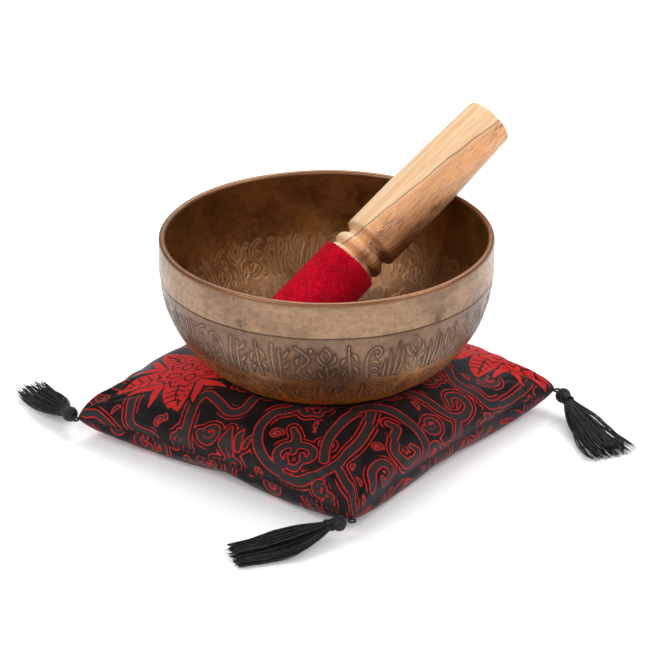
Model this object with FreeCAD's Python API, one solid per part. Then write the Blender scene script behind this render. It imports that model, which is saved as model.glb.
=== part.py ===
# Singing bowl set: a beaten bronze bowl on a square brocade cushion with a tassel at each
# corner, and a turned wooden mallet with a suede sleeve that stands in the bowl and leans
# on its lip.
#
# Frame: the origin is on the table under the bowl's axis, +Z is up, millimetres.
# The cushion rests on the table at Z = 0. The mallet leans towards +X +Y.
import FreeCAD, Part
import math
import os

os.makedirs("parts", exist_ok=True)
V = FreeCAD.Vector

# Driving dimensions of the bowl
BOWL_DIAMETER = 155.0
BOWL_HEIGHT = 72.7
BOWL_WALL = 3.2
RIM_HEIGHT = 98.0          # top of the lip above the table
SIDE_ARC = 56.0            # radius of the wall where it turns in under the rim band
BASE_ARC = 150.0           # radius of the shallow crown around the foot
STRAIGHT_BAND = 15.5       # depth below the lip to which the wall is straight
LINE_DEPTH = 17.5          # depth of the incised line under the plain rim band
LINE_CUT = 0.45            # depth of that line
LINE_HALF_WIDTH = 0.3
FIELD_SINK = 0.2           # how far the decorated field lies below the rim band
LIP_ROUND = 1.4

# Driving dimensions of the mallet, along its own axis from the sleeve's upper edge
SLEEVE_LENGTH = 64.0
SLEEVE_RADIUS = 14.65
SLEEVE_THICKNESS = 1.3
SLEEVE_SEAM = 0.5          # open butt seam of the wrapped sleeve
HANDLE_TOP = 98.7
MALLET_TILT = 31.9         # degrees above the table
MALLET_HEADING = 37.0      # degrees from +X towards +Y
SLEEVE_EDGE = (10.5, 11.3, 77.3)   # middle of the sleeve's upper edge as it leans

# Driving dimensions of the cushion
CUSHION_HALF_SIDE = 80.5
CUSHION_CENTRE = (-3.9, -0.8)
CORNER_HEADING = 7.6       # degrees from +X to the nearest corner
SIDE_HOLLOW = 2.2          # how far each side pulls in at its middle
SEAM_HEIGHT = 10.0
CUSHION_TOP = 30.5
COVER_THICKNESS = 0.8
BODY_GAP = 0.3             # clearance between pieces that move apart

# Driving dimensions of a tassel, along its own line from the loop's centre
TASSEL_LENGTH = 57.5
LOOP_RADIUS = 1.5
LOOP_CORD = 0.5
HEAD_RADIUS = 3.6
HEAD_FLAT = 0.8            # how much of the head the binding's end takes off
BINDING_RADIUS = 3.0
BINDING_TURNS = 5
STITCH_COUNT = 16
STITCH_PITCH = 5.2
STITCH_RADIUS = 0.3

# Each tassel's corner, counted in quarter turns from CORNER_HEADING, and where it points
TASSELS = {
    "right": (0, -66.0),
    "back": (1, 26.0),
    "left": (2, 118.0),
    "front": (3, 200.0),
}


def save(shape, node):
    """Writes one node and prints its volume."""
    shape.exportStep(f"parts/{node}.step")
    print(f"{node:24s} {shape.Volume:10.1f} mm3  solids {len(shape.Solids)}  valid {shape.isValid()}")


def revolved(edges):
    """Solid made by turning a closed outline in the XZ plane about Z."""
    face = Part.Face(Part.Wire(Part.__sortEdges__(edges)))
    return face.revolve(V(0, 0, 0), V(0, 0, 1), 360)


def line(start, end):
    """Straight edge between two (radius, height) points."""
    return Part.LineSegment(V(start[0], 0, start[1]), V(end[0], 0, end[1])).toShape()


def arc(centre, radius, first, last):
    """Arc about a (radius, height) centre, in degrees from +X towards +Z."""
    points = []
    for angle in (first, (first + last) / 2, last):
        turn = math.radians(angle)
        points.append(V(centre[0] + radius * math.cos(turn), 0, centre[1] + radius * math.sin(turn)))
    return Part.Arc(*points).toShape()


def polyline(points):
    """Straight edges through (radius, height) points."""
    return [line(a, b) for a, b in zip(points, points[1:])]


# The bowl -----------------------------------------------------------------------------

BOWL_RADIUS = BOWL_DIAMETER / 2
SIDE_CENTRE = (BOWL_RADIUS - SIDE_ARC, RIM_HEIGHT - STRAIGHT_BAND)
BASE_CENTRE_HEIGHT = SIDE_CENTRE[1] + math.sqrt((BASE_ARC - SIDE_ARC) ** 2 - SIDE_CENTRE[0] ** 2)
BASE_CENTRE = (0.0, BASE_CENTRE_HEIGHT)
MEET_ANGLE = -math.degrees(math.acos(SIDE_CENTRE[0] / (BASE_ARC - SIDE_ARC)))
FOOT_HEIGHT = RIM_HEIGHT - BOWL_HEIGHT


def under_edges(grow, side_start):
    """The wall's underside from the side arc to the foot, grown outwards; returns edges and end points."""
    side = SIDE_ARC + grow
    base = BASE_ARC + grow
    foot = FOOT_HEIGHT - grow
    foot_radius = math.sqrt(base ** 2 - (BASE_CENTRE[1] - foot) ** 2)
    foot_angle = -math.degrees(math.acos(foot_radius / base))
    edges = [
        arc(SIDE_CENTRE, side, side_start, MEET_ANGLE),
        arc(BASE_CENTRE, base, MEET_ANGLE, foot_angle),
        line((foot_radius, foot), (0.0, foot)),
    ]
    start_turn = math.radians(side_start)
    start = (SIDE_CENTRE[0] + side * math.cos(start_turn), SIDE_CENTRE[1] + side * math.sin(start_turn))
    return edges, start, foot


def make_bowl():
    """The bowl with its rounded lip, plain rim band, incised line and sunken field."""
    line_height = RIM_HEIGHT - LINE_DEPTH
    field_top = line_height - LINE_HALF_WIDTH
    field_start = math.degrees(math.asin((field_top - SIDE_CENTRE[1]) / (SIDE_ARC - FIELD_SINK)))
    under, field_point, foot = under_edges(-FIELD_SINK, field_start)
    inner, inner_start, floor = under_edges(-BOWL_WALL, 0.0)
    inner_radius = BOWL_RADIUS - BOWL_WALL
    lip_height = RIM_HEIGHT - LIP_ROUND
    outer_round = (BOWL_RADIUS - LIP_ROUND, lip_height)
    inner_round = (inner_radius + LIP_ROUND, lip_height)
    band_foot = (BOWL_RADIUS, line_height + LINE_HALF_WIDTH)
    edges = [
        arc(outer_round, LIP_ROUND, 0.0, 90.0),
        line((outer_round[0], RIM_HEIGHT), (inner_round[0], RIM_HEIGHT)),
        arc(inner_round, LIP_ROUND, 90.0, 180.0),
        line((inner_radius, lip_height), inner_start),
    ]
    edges += polyline([(BOWL_RADIUS, lip_height), band_foot, (BOWL_RADIUS - LINE_CUT, line_height), field_point])
    edges += under + inner
    edges.append(line((0.0, foot), (0.0, floor)))
    return revolved(edges)


def bowl_print(gap):
    """The space that the bowl presses into the cushion, grown by a gap."""
    edges, start, foot = under_edges(gap, 0.0)
    top = CUSHION_TOP + SEAM_HEIGHT + RIM_HEIGHT / 2
    edges += [line(start, (start[0], top)), line((start[0], top), (0.0, top)), line((0.0, top), (0.0, foot))]
    return revolved(edges)


# The mallet ---------------------------------------------------------------------------

CORE_RADIUS = SLEEVE_RADIUS - SLEEVE_THICKNESS
SHOULDER = [(CORE_RADIUS, 0.0), (13.0, 1.0), (12.0, 2.5), (11.2, 2.9)]
COLLAR = [(11.2, 3.2), (12.6, 4.4), (13.3, 5.2), (13.4, 7.6), (12.6, 8.9), (10.8, 10.4)]
NECK = [(10.6, 11.0), (10.6, 12.2), (11.4, 13.0), (13.5, 14.0)]
GRIP_FOOT = (14.05, 15.2)
GRIP_BELLY = (13.6, 56.0)
GRIP_HEAD = (12.3, HANDLE_TOP - 1.6)
GRIP_CAP = (11.0, HANDLE_TOP)


def place_mallet(shape):
    """Puts a shape made along Z, with the sleeve's edge at Z = 0, where the mallet leans."""
    shape.rotate(V(0, 0, 0), V(0, 1, 0), 90 - MALLET_TILT)
    shape.rotate(V(0, 0, 0), V(0, 0, 1), MALLET_HEADING)
    shape.translate(V(*SLEEVE_EDGE))
    return shape


def make_handle():
    """One turned piece of wood: the core inside the sleeve, a collar between two grooves, and the grip."""
    foot = (CORE_RADIUS - 1.0, -SLEEVE_LENGTH)
    edges = polyline([(0.0, -SLEEVE_LENGTH), foot, (CORE_RADIUS, -SLEEVE_LENGTH + 1.0)])
    edges += polyline([(CORE_RADIUS, -SLEEVE_LENGTH + 1.0)] + SHOULDER + COLLAR + NECK + [GRIP_FOOT])
    grip = Part.Arc(*[V(p[0], 0, p[1]) for p in (GRIP_FOOT, GRIP_BELLY, GRIP_HEAD)])
    edges.append(grip.toShape())
    edges += polyline([GRIP_HEAD, GRIP_CAP, (0.0, HANDLE_TOP), (0.0, -SLEEVE_LENGTH)])
    return place_mallet(revolved(edges))


def make_sleeve():
    """Suede wrapped once round the core and glued, with an open butt seam underneath."""
    outer = Part.makeCylinder(SLEEVE_RADIUS, SLEEVE_LENGTH, V(0, 0, -SLEEVE_LENGTH))
    outer = outer.makeFillet(0.5, [e for e in outer.Edges if len(e.Vertexes) == 1])
    bore = Part.makeCylinder(CORE_RADIUS, SLEEVE_LENGTH, V(0, 0, -SLEEVE_LENGTH))
    seam = Part.makeBox(2 * SLEEVE_RADIUS, SLEEVE_SEAM, SLEEVE_LENGTH, V(0, -SLEEVE_SEAM / 2, -SLEEVE_LENGTH))
    return place_mallet(outer.cut(bore).cut(seam))


# The cushion --------------------------------------------------------------------------

# Level outlines of the stuffed cushion: (height, how far inside the seam, corner radius)
OUTLINES = [
    (0.0, 14.0, 14.0),
    (2.0, 7.0, 10.0),
    (5.5, 2.2, 6.0),
    (SEAM_HEIGHT, 0.0, 3.5),
    (16.0, 1.6, 6.0),
    (22.0, 5.5, 11.0),
    (26.5, 12.0, 18.0),
    (29.3, 21.0, 24.0),
    (CUSHION_TOP, 34.0, 28.0),
]


def place_cushion(shape):
    """Turns and shifts a shape made square to the axes about the cushion's centre."""
    shape.rotate(V(0, 0, 0), V(0, 0, 1), CORNER_HEADING - 45)
    shape.translate(V(CUSHION_CENTRE[0], CUSHION_CENTRE[1], 0))
    return shape


def outline(height, inset, corner):
    """A level square with hollow sides and round corners."""
    half = CUSHION_HALF_SIDE - inset
    run = half - corner
    tip = half - corner * (1 - math.cos(math.radians(45)))
    side = Part.Arc(V(half, -run, height), V(half - SIDE_HOLLOW, 0, height), V(half, run, height)).toShape()
    bend = Part.Arc(V(half, run, height), V(tip, tip, height), V(run, half, height)).toShape()
    edges = []
    for quarter in range(4):
        for edge in (side, bend):
            turned = edge.copy()
            turned.rotate(V(0, 0, 0), V(0, 0, 1), 90 * quarter)
            edges.append(turned)
    return Part.Wire(edges)


def pillow(skin):
    """The cushion's body, smaller all round by the given skin."""
    above = (CUSHION_TOP - skin - SEAM_HEIGHT) / (CUSHION_TOP - SEAM_HEIGHT)
    below = (SEAM_HEIGHT - skin) / SEAM_HEIGHT
    wires = []
    for height, inset, corner in OUTLINES:
        scale = above if height > SEAM_HEIGHT else below
        wires.append(outline(SEAM_HEIGHT + (height - SEAM_HEIGHT) * scale, inset + skin, corner))
    return place_cushion(Part.makeLoft(wires, True, False))


def make_cushion():
    """The two cover panels and the filling between them."""
    block = 4 * CUSHION_HALF_SIDE
    upper = Part.makeBox(block, block, block, V(-block / 2, -block / 2, SEAM_HEIGHT))
    whole = pillow(0.0).cut(bowl_print(BODY_GAP))
    filling = pillow(COVER_THICKNESS).cut(bowl_print(BODY_GAP + COVER_THICKNESS))
    cover = whole.cut(filling)
    return cover.common(upper), cover.cut(upper), filling


def make_stitches():
    """Hand stitches that close the seam along one side, as separate short bars."""
    bars = []
    for number in range(STITCH_COUNT):
        along = (number - (STITCH_COUNT - 1) / 2) * STITCH_PITCH
        hollow = SIDE_HOLLOW * (1 - (along / CUSHION_HALF_SIDE) ** 2)
        out = CUSHION_HALF_SIDE - hollow + STITCH_RADIUS / 2
        bar = Part.makeCylinder(STITCH_RADIUS, 2.4, V(0, 0, -1.2))
        bar.rotate(V(0, 0, 0), V(1, 0, 0), 25)
        bar.rotate(V(0, 0, 0), V(0, 0, 1), -90)
        bar.translate(V(along, -out, SEAM_HEIGHT))
        bars.append(bar)
    row = Part.makeCompound(bars)
    row.rotate(V(0, 0, 0), V(0, 0, 1), -90)
    return place_cushion(row).cut(pillow(0.0))


# The tassels --------------------------------------------------------------------------

CORNER_REACH = math.sqrt(2) * (CUSHION_HALF_SIDE - 3.5 * (1 - math.cos(math.radians(45))))
LOOP_REACH = CORNER_REACH + LOOP_RADIUS + LOOP_CORD + BODY_GAP
HEAD_START = LOOP_RADIUS + LOOP_CORD + BODY_GAP
HEAD_END = HEAD_START + 2 * HEAD_RADIUS
BINDING_END = HEAD_END + 3.2

# Cross-sections of the skirt: (along the tassel, half width, half height, height of its middle)
SKIRT = [
    (BINDING_END, 2.7, 2.7, SEAM_HEIGHT - 0.6),
    (BINDING_END + 7.0, 4.6, 3.6, SEAM_HEIGHT - 2.2),
    (BINDING_END + 18.0, 8.2, 4.3, SEAM_HEIGHT - 4.4),
    (BINDING_END + 32.0, 11.2, 3.9, SEAM_HEIGHT - 5.7),
    (TASSEL_LENGTH, 12.4, 3.3, SEAM_HEIGHT - 6.4),
]


def place_tassel(shape, quarter, heading):
    """Moves a shape made along +X, with the loop's centre at X = 0, to a corner of the cushion."""
    corner = math.radians(CORNER_HEADING + 90 * quarter)
    shape.rotate(V(0, 0, 0), V(0, 0, 1), heading)
    shape.translate(V(
        CUSHION_CENTRE[0] + LOOP_REACH * math.cos(corner),
        CUSHION_CENTRE[1] + LOOP_REACH * math.sin(corner),
        0,
    ))
    return shape


def make_loop():
    """The ring of cord at the corner that the tassel hangs on."""
    return Part.makeTorus(LOOP_RADIUS, LOOP_CORD, V(0, 0, SEAM_HEIGHT), V(0, 0, 1))


def make_head():
    """The round head, with a flat where the binding starts."""
    middle = V(HEAD_START + HEAD_RADIUS, 0, SEAM_HEIGHT)
    flat = math.degrees(math.asin(1 - HEAD_FLAT / HEAD_RADIUS))
    return Part.makeSphere(HEAD_RADIUS, middle, V(1, 0, 0), -90, flat)


def make_binding():
    """Thread wound round the neck, turn beside turn."""
    start = HEAD_END - HEAD_FLAT
    pitch = (BINDING_END - start) / BINDING_TURNS
    middle = SEAM_HEIGHT - 0.3
    turns = Part.makeCylinder(BINDING_RADIUS - pitch / 4, BINDING_END - start, V(start, 0, middle), V(1, 0, 0))
    for number in range(BINDING_TURNS):
        at = V(start + (number + 0.5) * pitch, 0, middle)
        turns = turns.fuse(Part.makeTorus(BINDING_RADIUS - pitch / 4, pitch * 0.45, at, V(1, 0, 0)))
    return turns.removeSplitter()


def make_skirt():
    """The hanging threads as one flattened, flaring bundle that lies down to the table."""
    wires = []
    for along, half_width, half_height, middle in SKIRT:
        if half_width > half_height:
            oval = Part.Ellipse(V(along, half_width, middle), V(along, 0, middle + half_height), V(along, 0, middle))
        else:
            oval = Part.Circle(V(along, 0, middle), V(1, 0, 0), half_width)
        wires.append(Part.Wire(oval.toShape()))
    return Part.makeLoft(wires, True, False)


def main():
    """Builds and writes every node."""
    save(make_bowl(), "bowl")
    save(make_handle(), "mallet_handle")
    save(make_sleeve(), "mallet_sleeve")
    top, bottom, filling = make_cushion()
    save(top, "cushion_cover_top")
    save(bottom, "cushion_cover_bottom")
    save(filling, "cushion_filling")
    save(make_stitches(), "closing_stitches")
    pieces = {"loop": make_loop, "head": make_head, "binding": make_binding, "skirt": make_skirt}
    for corner, (quarter, heading) in TASSELS.items():
        for piece, make in pieces.items():
            save(place_tassel(make(), quarter, heading), f"tassel_{corner}_{piece}")


main()
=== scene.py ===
"""Singing bowl set: an engraved bronze bowl on a brocade cushion, with its suede-sleeved mallet.

Every length in a dataclass field is in millimetres unless its name says otherwise, and the
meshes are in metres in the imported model's frame: the origin is on the table under the bowl's
axis, +Z is up, and the mallet leans towards +X +Y.
"""

import logging
import math
import random
from dataclasses import dataclass
from enum import Enum
from typing import Iterable, Optional, Sequence, Union

import bmesh
import bpy
import numpy as np
from mathutils.bvhtree import BVHTree
from mathutils import Euler, Matrix, Vector

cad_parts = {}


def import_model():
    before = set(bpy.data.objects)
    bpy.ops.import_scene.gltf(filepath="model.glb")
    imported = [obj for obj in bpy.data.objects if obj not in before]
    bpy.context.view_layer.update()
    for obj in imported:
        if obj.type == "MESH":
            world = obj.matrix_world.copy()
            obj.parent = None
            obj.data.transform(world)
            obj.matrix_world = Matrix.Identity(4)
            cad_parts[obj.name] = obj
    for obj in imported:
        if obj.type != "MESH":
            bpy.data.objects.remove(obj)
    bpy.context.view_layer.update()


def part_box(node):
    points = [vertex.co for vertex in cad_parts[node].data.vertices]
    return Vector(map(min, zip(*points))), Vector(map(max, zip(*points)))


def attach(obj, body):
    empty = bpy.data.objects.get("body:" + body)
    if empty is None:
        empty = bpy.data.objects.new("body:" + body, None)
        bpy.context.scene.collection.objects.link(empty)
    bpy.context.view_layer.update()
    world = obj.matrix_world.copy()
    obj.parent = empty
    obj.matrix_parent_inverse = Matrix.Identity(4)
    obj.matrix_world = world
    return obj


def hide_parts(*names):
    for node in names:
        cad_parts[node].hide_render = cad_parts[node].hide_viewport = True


MM = 0.001
LOG = logging.getLogger("singing_bowl")
Socket = bpy.types.NodeSocket
Value = Union[float, Socket]
Triples = Sequence[tuple[float, float, float]]


# Meshes ---------------------------------------------------------------------------------


def piece_from(bm: bmesh.types.BMesh, name: str) -> bpy.types.Object:
    """Turns a bmesh into a smooth-shaded piece in the scene.

    Args:
        bm: the shape, in metres; it is freed here.
        name: the piece's name.

    Returns:
        The new object, at the origin.
    """
    mesh = bpy.data.meshes.new(name)
    bm.to_mesh(mesh)
    bm.free()
    mesh.polygons.foreach_set("use_smooth", np.ones(len(mesh.polygons), dtype=bool))
    piece = bpy.data.objects.new(name, mesh)
    bpy.context.collection.objects.link(piece)
    return piece


def positions(mesh: bpy.types.Mesh) -> np.ndarray:
    """Returns the mesh's vertex positions in millimetres, one row each."""
    flat = np.empty(len(mesh.vertices) * 3, dtype=np.float32)
    mesh.vertices.foreach_get("co", flat)
    return flat.reshape(-1, 3).astype(float) / MM


def set_positions(mesh: bpy.types.Mesh, points: np.ndarray) -> None:
    """Moves the mesh's vertices to positions given in millimetres."""
    mesh.vertices.foreach_set("co", (points * MM).astype(np.float32).ravel())
    mesh.update()


def store(mesh: bpy.types.Mesh, name: str, values: np.ndarray) -> None:
    """Keeps one number per vertex for a material to read."""
    attribute = mesh.attributes.new(name, "FLOAT", "POINT")
    attribute.data.foreach_set("value", values.astype(np.float32))


def smooth_path(points: Triples, step: float) -> np.ndarray:
    """Samples the smooth curve that passes through some points.

    Args:
        points: across, along and half width of each point.
        step: the spacing of the samples.

    Returns:
        The samples, one row each.
    """
    knots = np.array(points, dtype=float)
    knots = np.vstack([2 * knots[0] - knots[1], knots, 2 * knots[-1] - knots[-2]])
    runs = []
    for before, start, end, after in zip(knots, knots[1:], knots[2:], knots[3:]):
        count = max(2, int(np.linalg.norm((end - start)[:2]) / step) + 1)
        t = np.linspace(0.0, 1.0, count, endpoint=False)[:, None]
        curve = 2 * start + (end - before) * t
        curve += (2 * before - 5 * start + 4 * end - after) * t ** 2
        curve += (3 * start - before - 3 * end + after) * t ** 3
        runs.append(curve / 2)
    runs.append(knots[-2][None])
    return np.vstack(runs)


def stroke_field(plane: np.ndarray, strokes: Iterable[np.ndarray], reach: float) -> np.ndarray:
    """Measures how far each point lies from the edge of the nearest stroke.

    Args:
        plane: the points' two coordinates.
        strokes: sampled strokes, each row across, along and half width.
        reach: the largest distance that matters.

    Returns:
        One distance per point, negative inside a stroke and never above reach.
    """
    nearest = np.full(len(plane), reach)
    order = np.argsort(plane[:, 0])
    across = plane[order, 0]
    for path in strokes:
        margin = path[:, 2].max() + reach
        low = path[:, :2].min(axis=0) - margin
        high = path[:, :2].max(axis=0) + margin
        first, last = np.searchsorted(across, (low[0], high[0]))
        close = order[first:last]
        close = close[(plane[close, 1] > low[1]) & (plane[close, 1] < high[1])]
        if close.size == 0:
            continue
        start, run = path[:-1], np.diff(path, axis=0)
        offset = plane[close][:, None, :] - start[None, :, :2]
        along = (offset * run[None, :, :2]).sum(axis=2) / ((run[:, :2] ** 2).sum(axis=1) + 1e-9)
        along = np.clip(along, 0.0, 1.0)
        gap = offset - along[..., None] * run[None, :, :2]
        distance = np.hypot(gap[..., 0], gap[..., 1]) - start[None, :, 2] - along * run[None, :, 2]
        nearest[close] = np.minimum(nearest[close], distance.min(axis=1))
    return nearest


def threads(name: str, paths: Iterable[np.ndarray], radius: float, sides: int = 0) -> bpy.types.Object:
    """Lays round threads along paths.

    Args:
        name: the piece's name.
        paths: each thread's points in millimetres, one row each.
        radius: the thread's radius.
        sides: the bevel resolution, where 0 gives four sides.

    Returns:
        One mesh piece that holds all the threads.
    """
    curve = bpy.data.curves.new(name + "_line", "CURVE")
    curve.dimensions = "3D"
    curve.bevel_depth = radius * MM
    curve.bevel_resolution = sides
    curve.use_fill_caps = True
    for path in paths:
        spline = curve.splines.new("POLY")
        spline.points.add(len(path) - 1)
        spline.points.foreach_set("co", np.hstack([path * MM, np.ones((len(path), 1))]).ravel())
    guide = bpy.data.objects.new(name + "_line", curve)
    bpy.context.collection.objects.link(guide)
    mesh = bpy.data.meshes.new_from_object(guide.evaluated_get(bpy.context.evaluated_depsgraph_get()))
    bpy.data.objects.remove(guide)
    mesh.name = name
    mesh.polygons.foreach_set("use_smooth", np.ones(len(mesh.polygons), dtype=bool))
    piece = bpy.data.objects.new(name, mesh)
    bpy.context.collection.objects.link(piece)
    return piece


def spun(profile: Sequence[tuple[float, float]], steps: int, sweep: float = 360.0) -> bmesh.types.BMesh:
    """Bends a grid into an outline turned about the Z axis.

    Args:
        profile: radius and height of each point.
        steps: how many facets the turn has.
        sweep: the angle of the turn in degrees.

    Returns:
        The turned surface with its doubles merged, in metres.
    """
    bm = bmesh.new()
    rows = len(profile) - 1
    bmesh.ops.create_grid(bm, x_segments=steps, y_segments=rows, size=0.5)
    for vert in bm.verts:
        angle = math.radians(sweep) * (vert.co.x + 0.5)
        radius, height = profile[round((vert.co.y + 0.5) * rows)]
        vert.co = Vector((radius * math.cos(angle), radius * math.sin(angle), height)) * MM
    bmesh.ops.remove_doubles(bm, verts=bm.verts, dist=1e-7)
    return bm


def dress(piece: bpy.types.Object, material: bpy.types.Material, body: str) -> None:
    """Gives a piece its material and the body that it rides on."""
    piece.data.materials.clear()
    piece.data.materials.append(material)
    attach(piece, body)
    LOG.info("%s: %d faces on body %s", piece.name, len(piece.data.polygons), body)


# Materials ------------------------------------------------------------------------------


class Graph:
    """Builds the nodes of one procedural material."""

    def __init__(self, name: str) -> None:
        """Starts a material with a Principled shader and the piece's own coordinates."""
        self.material = bpy.data.materials.new(name)
        self.material.use_nodes = True
        self.tree = self.material.node_tree
        self.shader = self.tree.nodes["Principled BSDF"]
        self.place = self.node("ShaderNodeTexCoord").outputs["Object"]

    def node(self, kind: str, **settings: object) -> bpy.types.Node:
        """Adds a node and sets its properties."""
        node = self.tree.nodes.new(kind)
        for name, value in settings.items():
            setattr(node, name, value)
        return node

    def feed(self, socket: Socket, value: object) -> None:
        """Links a socket to another, or sets its value."""
        if isinstance(value, bpy.types.NodeSocket):
            self.tree.links.new(value, socket)
        else:
            socket.default_value = value

    def set(self, **inputs: object) -> None:
        """Feeds the shader's inputs, with underscores for the spaces in their names."""
        for name, value in inputs.items():
            if isinstance(value, tuple) and len(value) == 3:
                value = (*value, 1.0)
            self.feed(self.shader.inputs[name.replace("_", " ")], value)

    def math(self, operation: str, a: Value, b: Value = 0.0, clamp: bool = False) -> Socket:
        """Adds a Math node and returns its result."""
        node = self.node("ShaderNodeMath", operation=operation, use_clamp=clamp)
        self.feed(node.inputs[0], a)
        self.feed(node.inputs[1], b)
        return node.outputs[0]

    def blend(self, amount: Value, a: object, b: object, how: str = "MIX") -> Socket:
        """Mixes two colours and returns the result."""
        node = self.node("ShaderNodeMix", data_type="RGBA", blend_type=how)
        self.feed(node.inputs[0], amount)
        for index, colour in ((6, a), (7, b)):
            self.feed(node.inputs[index], (*colour, 1.0) if isinstance(colour, tuple) else colour)
        return node.outputs[2]

    def spread(self, value: Socket, low: float, high: float, to_low: float = 0.0,
            to_high: float = 1.0) -> Socket:
        """Maps a value smoothly from one range to another, and holds it at the ends."""
        node = self.node("ShaderNodeMapRange", interpolation_type="SMOOTHSTEP")
        for index, number in enumerate((value, low, high, to_low, to_high)):
            self.feed(node.inputs[index], number)
        return node.outputs[0]

    def attribute(self, name: str) -> Socket:
        """Returns a stored vertex number."""
        return self.node("ShaderNodeAttribute", attribute_name=name).outputs["Fac"]

    def noise(self, scale: float, detail: float = 3.0, rough: float = 0.5,
            at: Optional[Socket] = None) -> Socket:
        """Returns cloudy noise, with scale in features per metre."""
        node = self.node("ShaderNodeTexNoise")
        self.feed(node.inputs["Vector"], at or self.place)
        node.inputs["Scale"].default_value = scale
        node.inputs["Detail"].default_value = detail
        node.inputs["Roughness"].default_value = rough
        return node.outputs[0]

    def cells(self, scale: float, feature: str = "SMOOTH_F1", at: Optional[Socket] = None) -> Socket:
        """Returns the distance to the nearest of many scattered points."""
        node = self.node("ShaderNodeTexVoronoi", feature=feature)
        self.feed(node.inputs["Vector"], at or self.place)
        node.inputs["Scale"].default_value = scale
        return node.outputs["Distance"]

    def stretched(self, scale: tuple[float, float, float], at: Optional[Socket] = None) -> Socket:
        """Returns coordinates scaled along each axis."""
        node = self.node("ShaderNodeMapping")
        self.feed(node.inputs["Vector"], at or self.place)
        node.inputs["Scale"].default_value = scale
        return node.outputs[0]

    def carried(self, origin: tuple[float, float, float], turn: Euler) -> Socket:
        """Returns coordinates measured from an origin along turned axes."""
        node = self.node("ShaderNodeMapping", vector_type="TEXTURE")
        self.feed(node.inputs["Vector"], self.place)
        node.inputs["Location"].default_value = origin
        node.inputs["Rotation"].default_value = turn
        return node.outputs[0]

    def axis(self, name: str, at: Optional[Socket] = None) -> Socket:
        """Returns one coordinate, X, Y or Z."""
        node = self.node("ShaderNodeSeparateXYZ")
        self.feed(node.inputs[0], at or self.place)
        return node.outputs[name]

    def bump(self, height: Socket, distance: float, strength: float = 1.0) -> None:
        """Adds relief to the shader, over any that it has already."""
        node = self.node("ShaderNodeBump")
        node.inputs["Strength"].default_value = strength
        node.inputs["Distance"].default_value = distance
        self.feed(node.inputs["Height"], height)
        current = self.shader.inputs["Normal"]
        if current.links:
            self.tree.links.new(current.links[0].from_socket, node.inputs["Normal"])
        self.tree.links.new(node.outputs[0], current)


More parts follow.
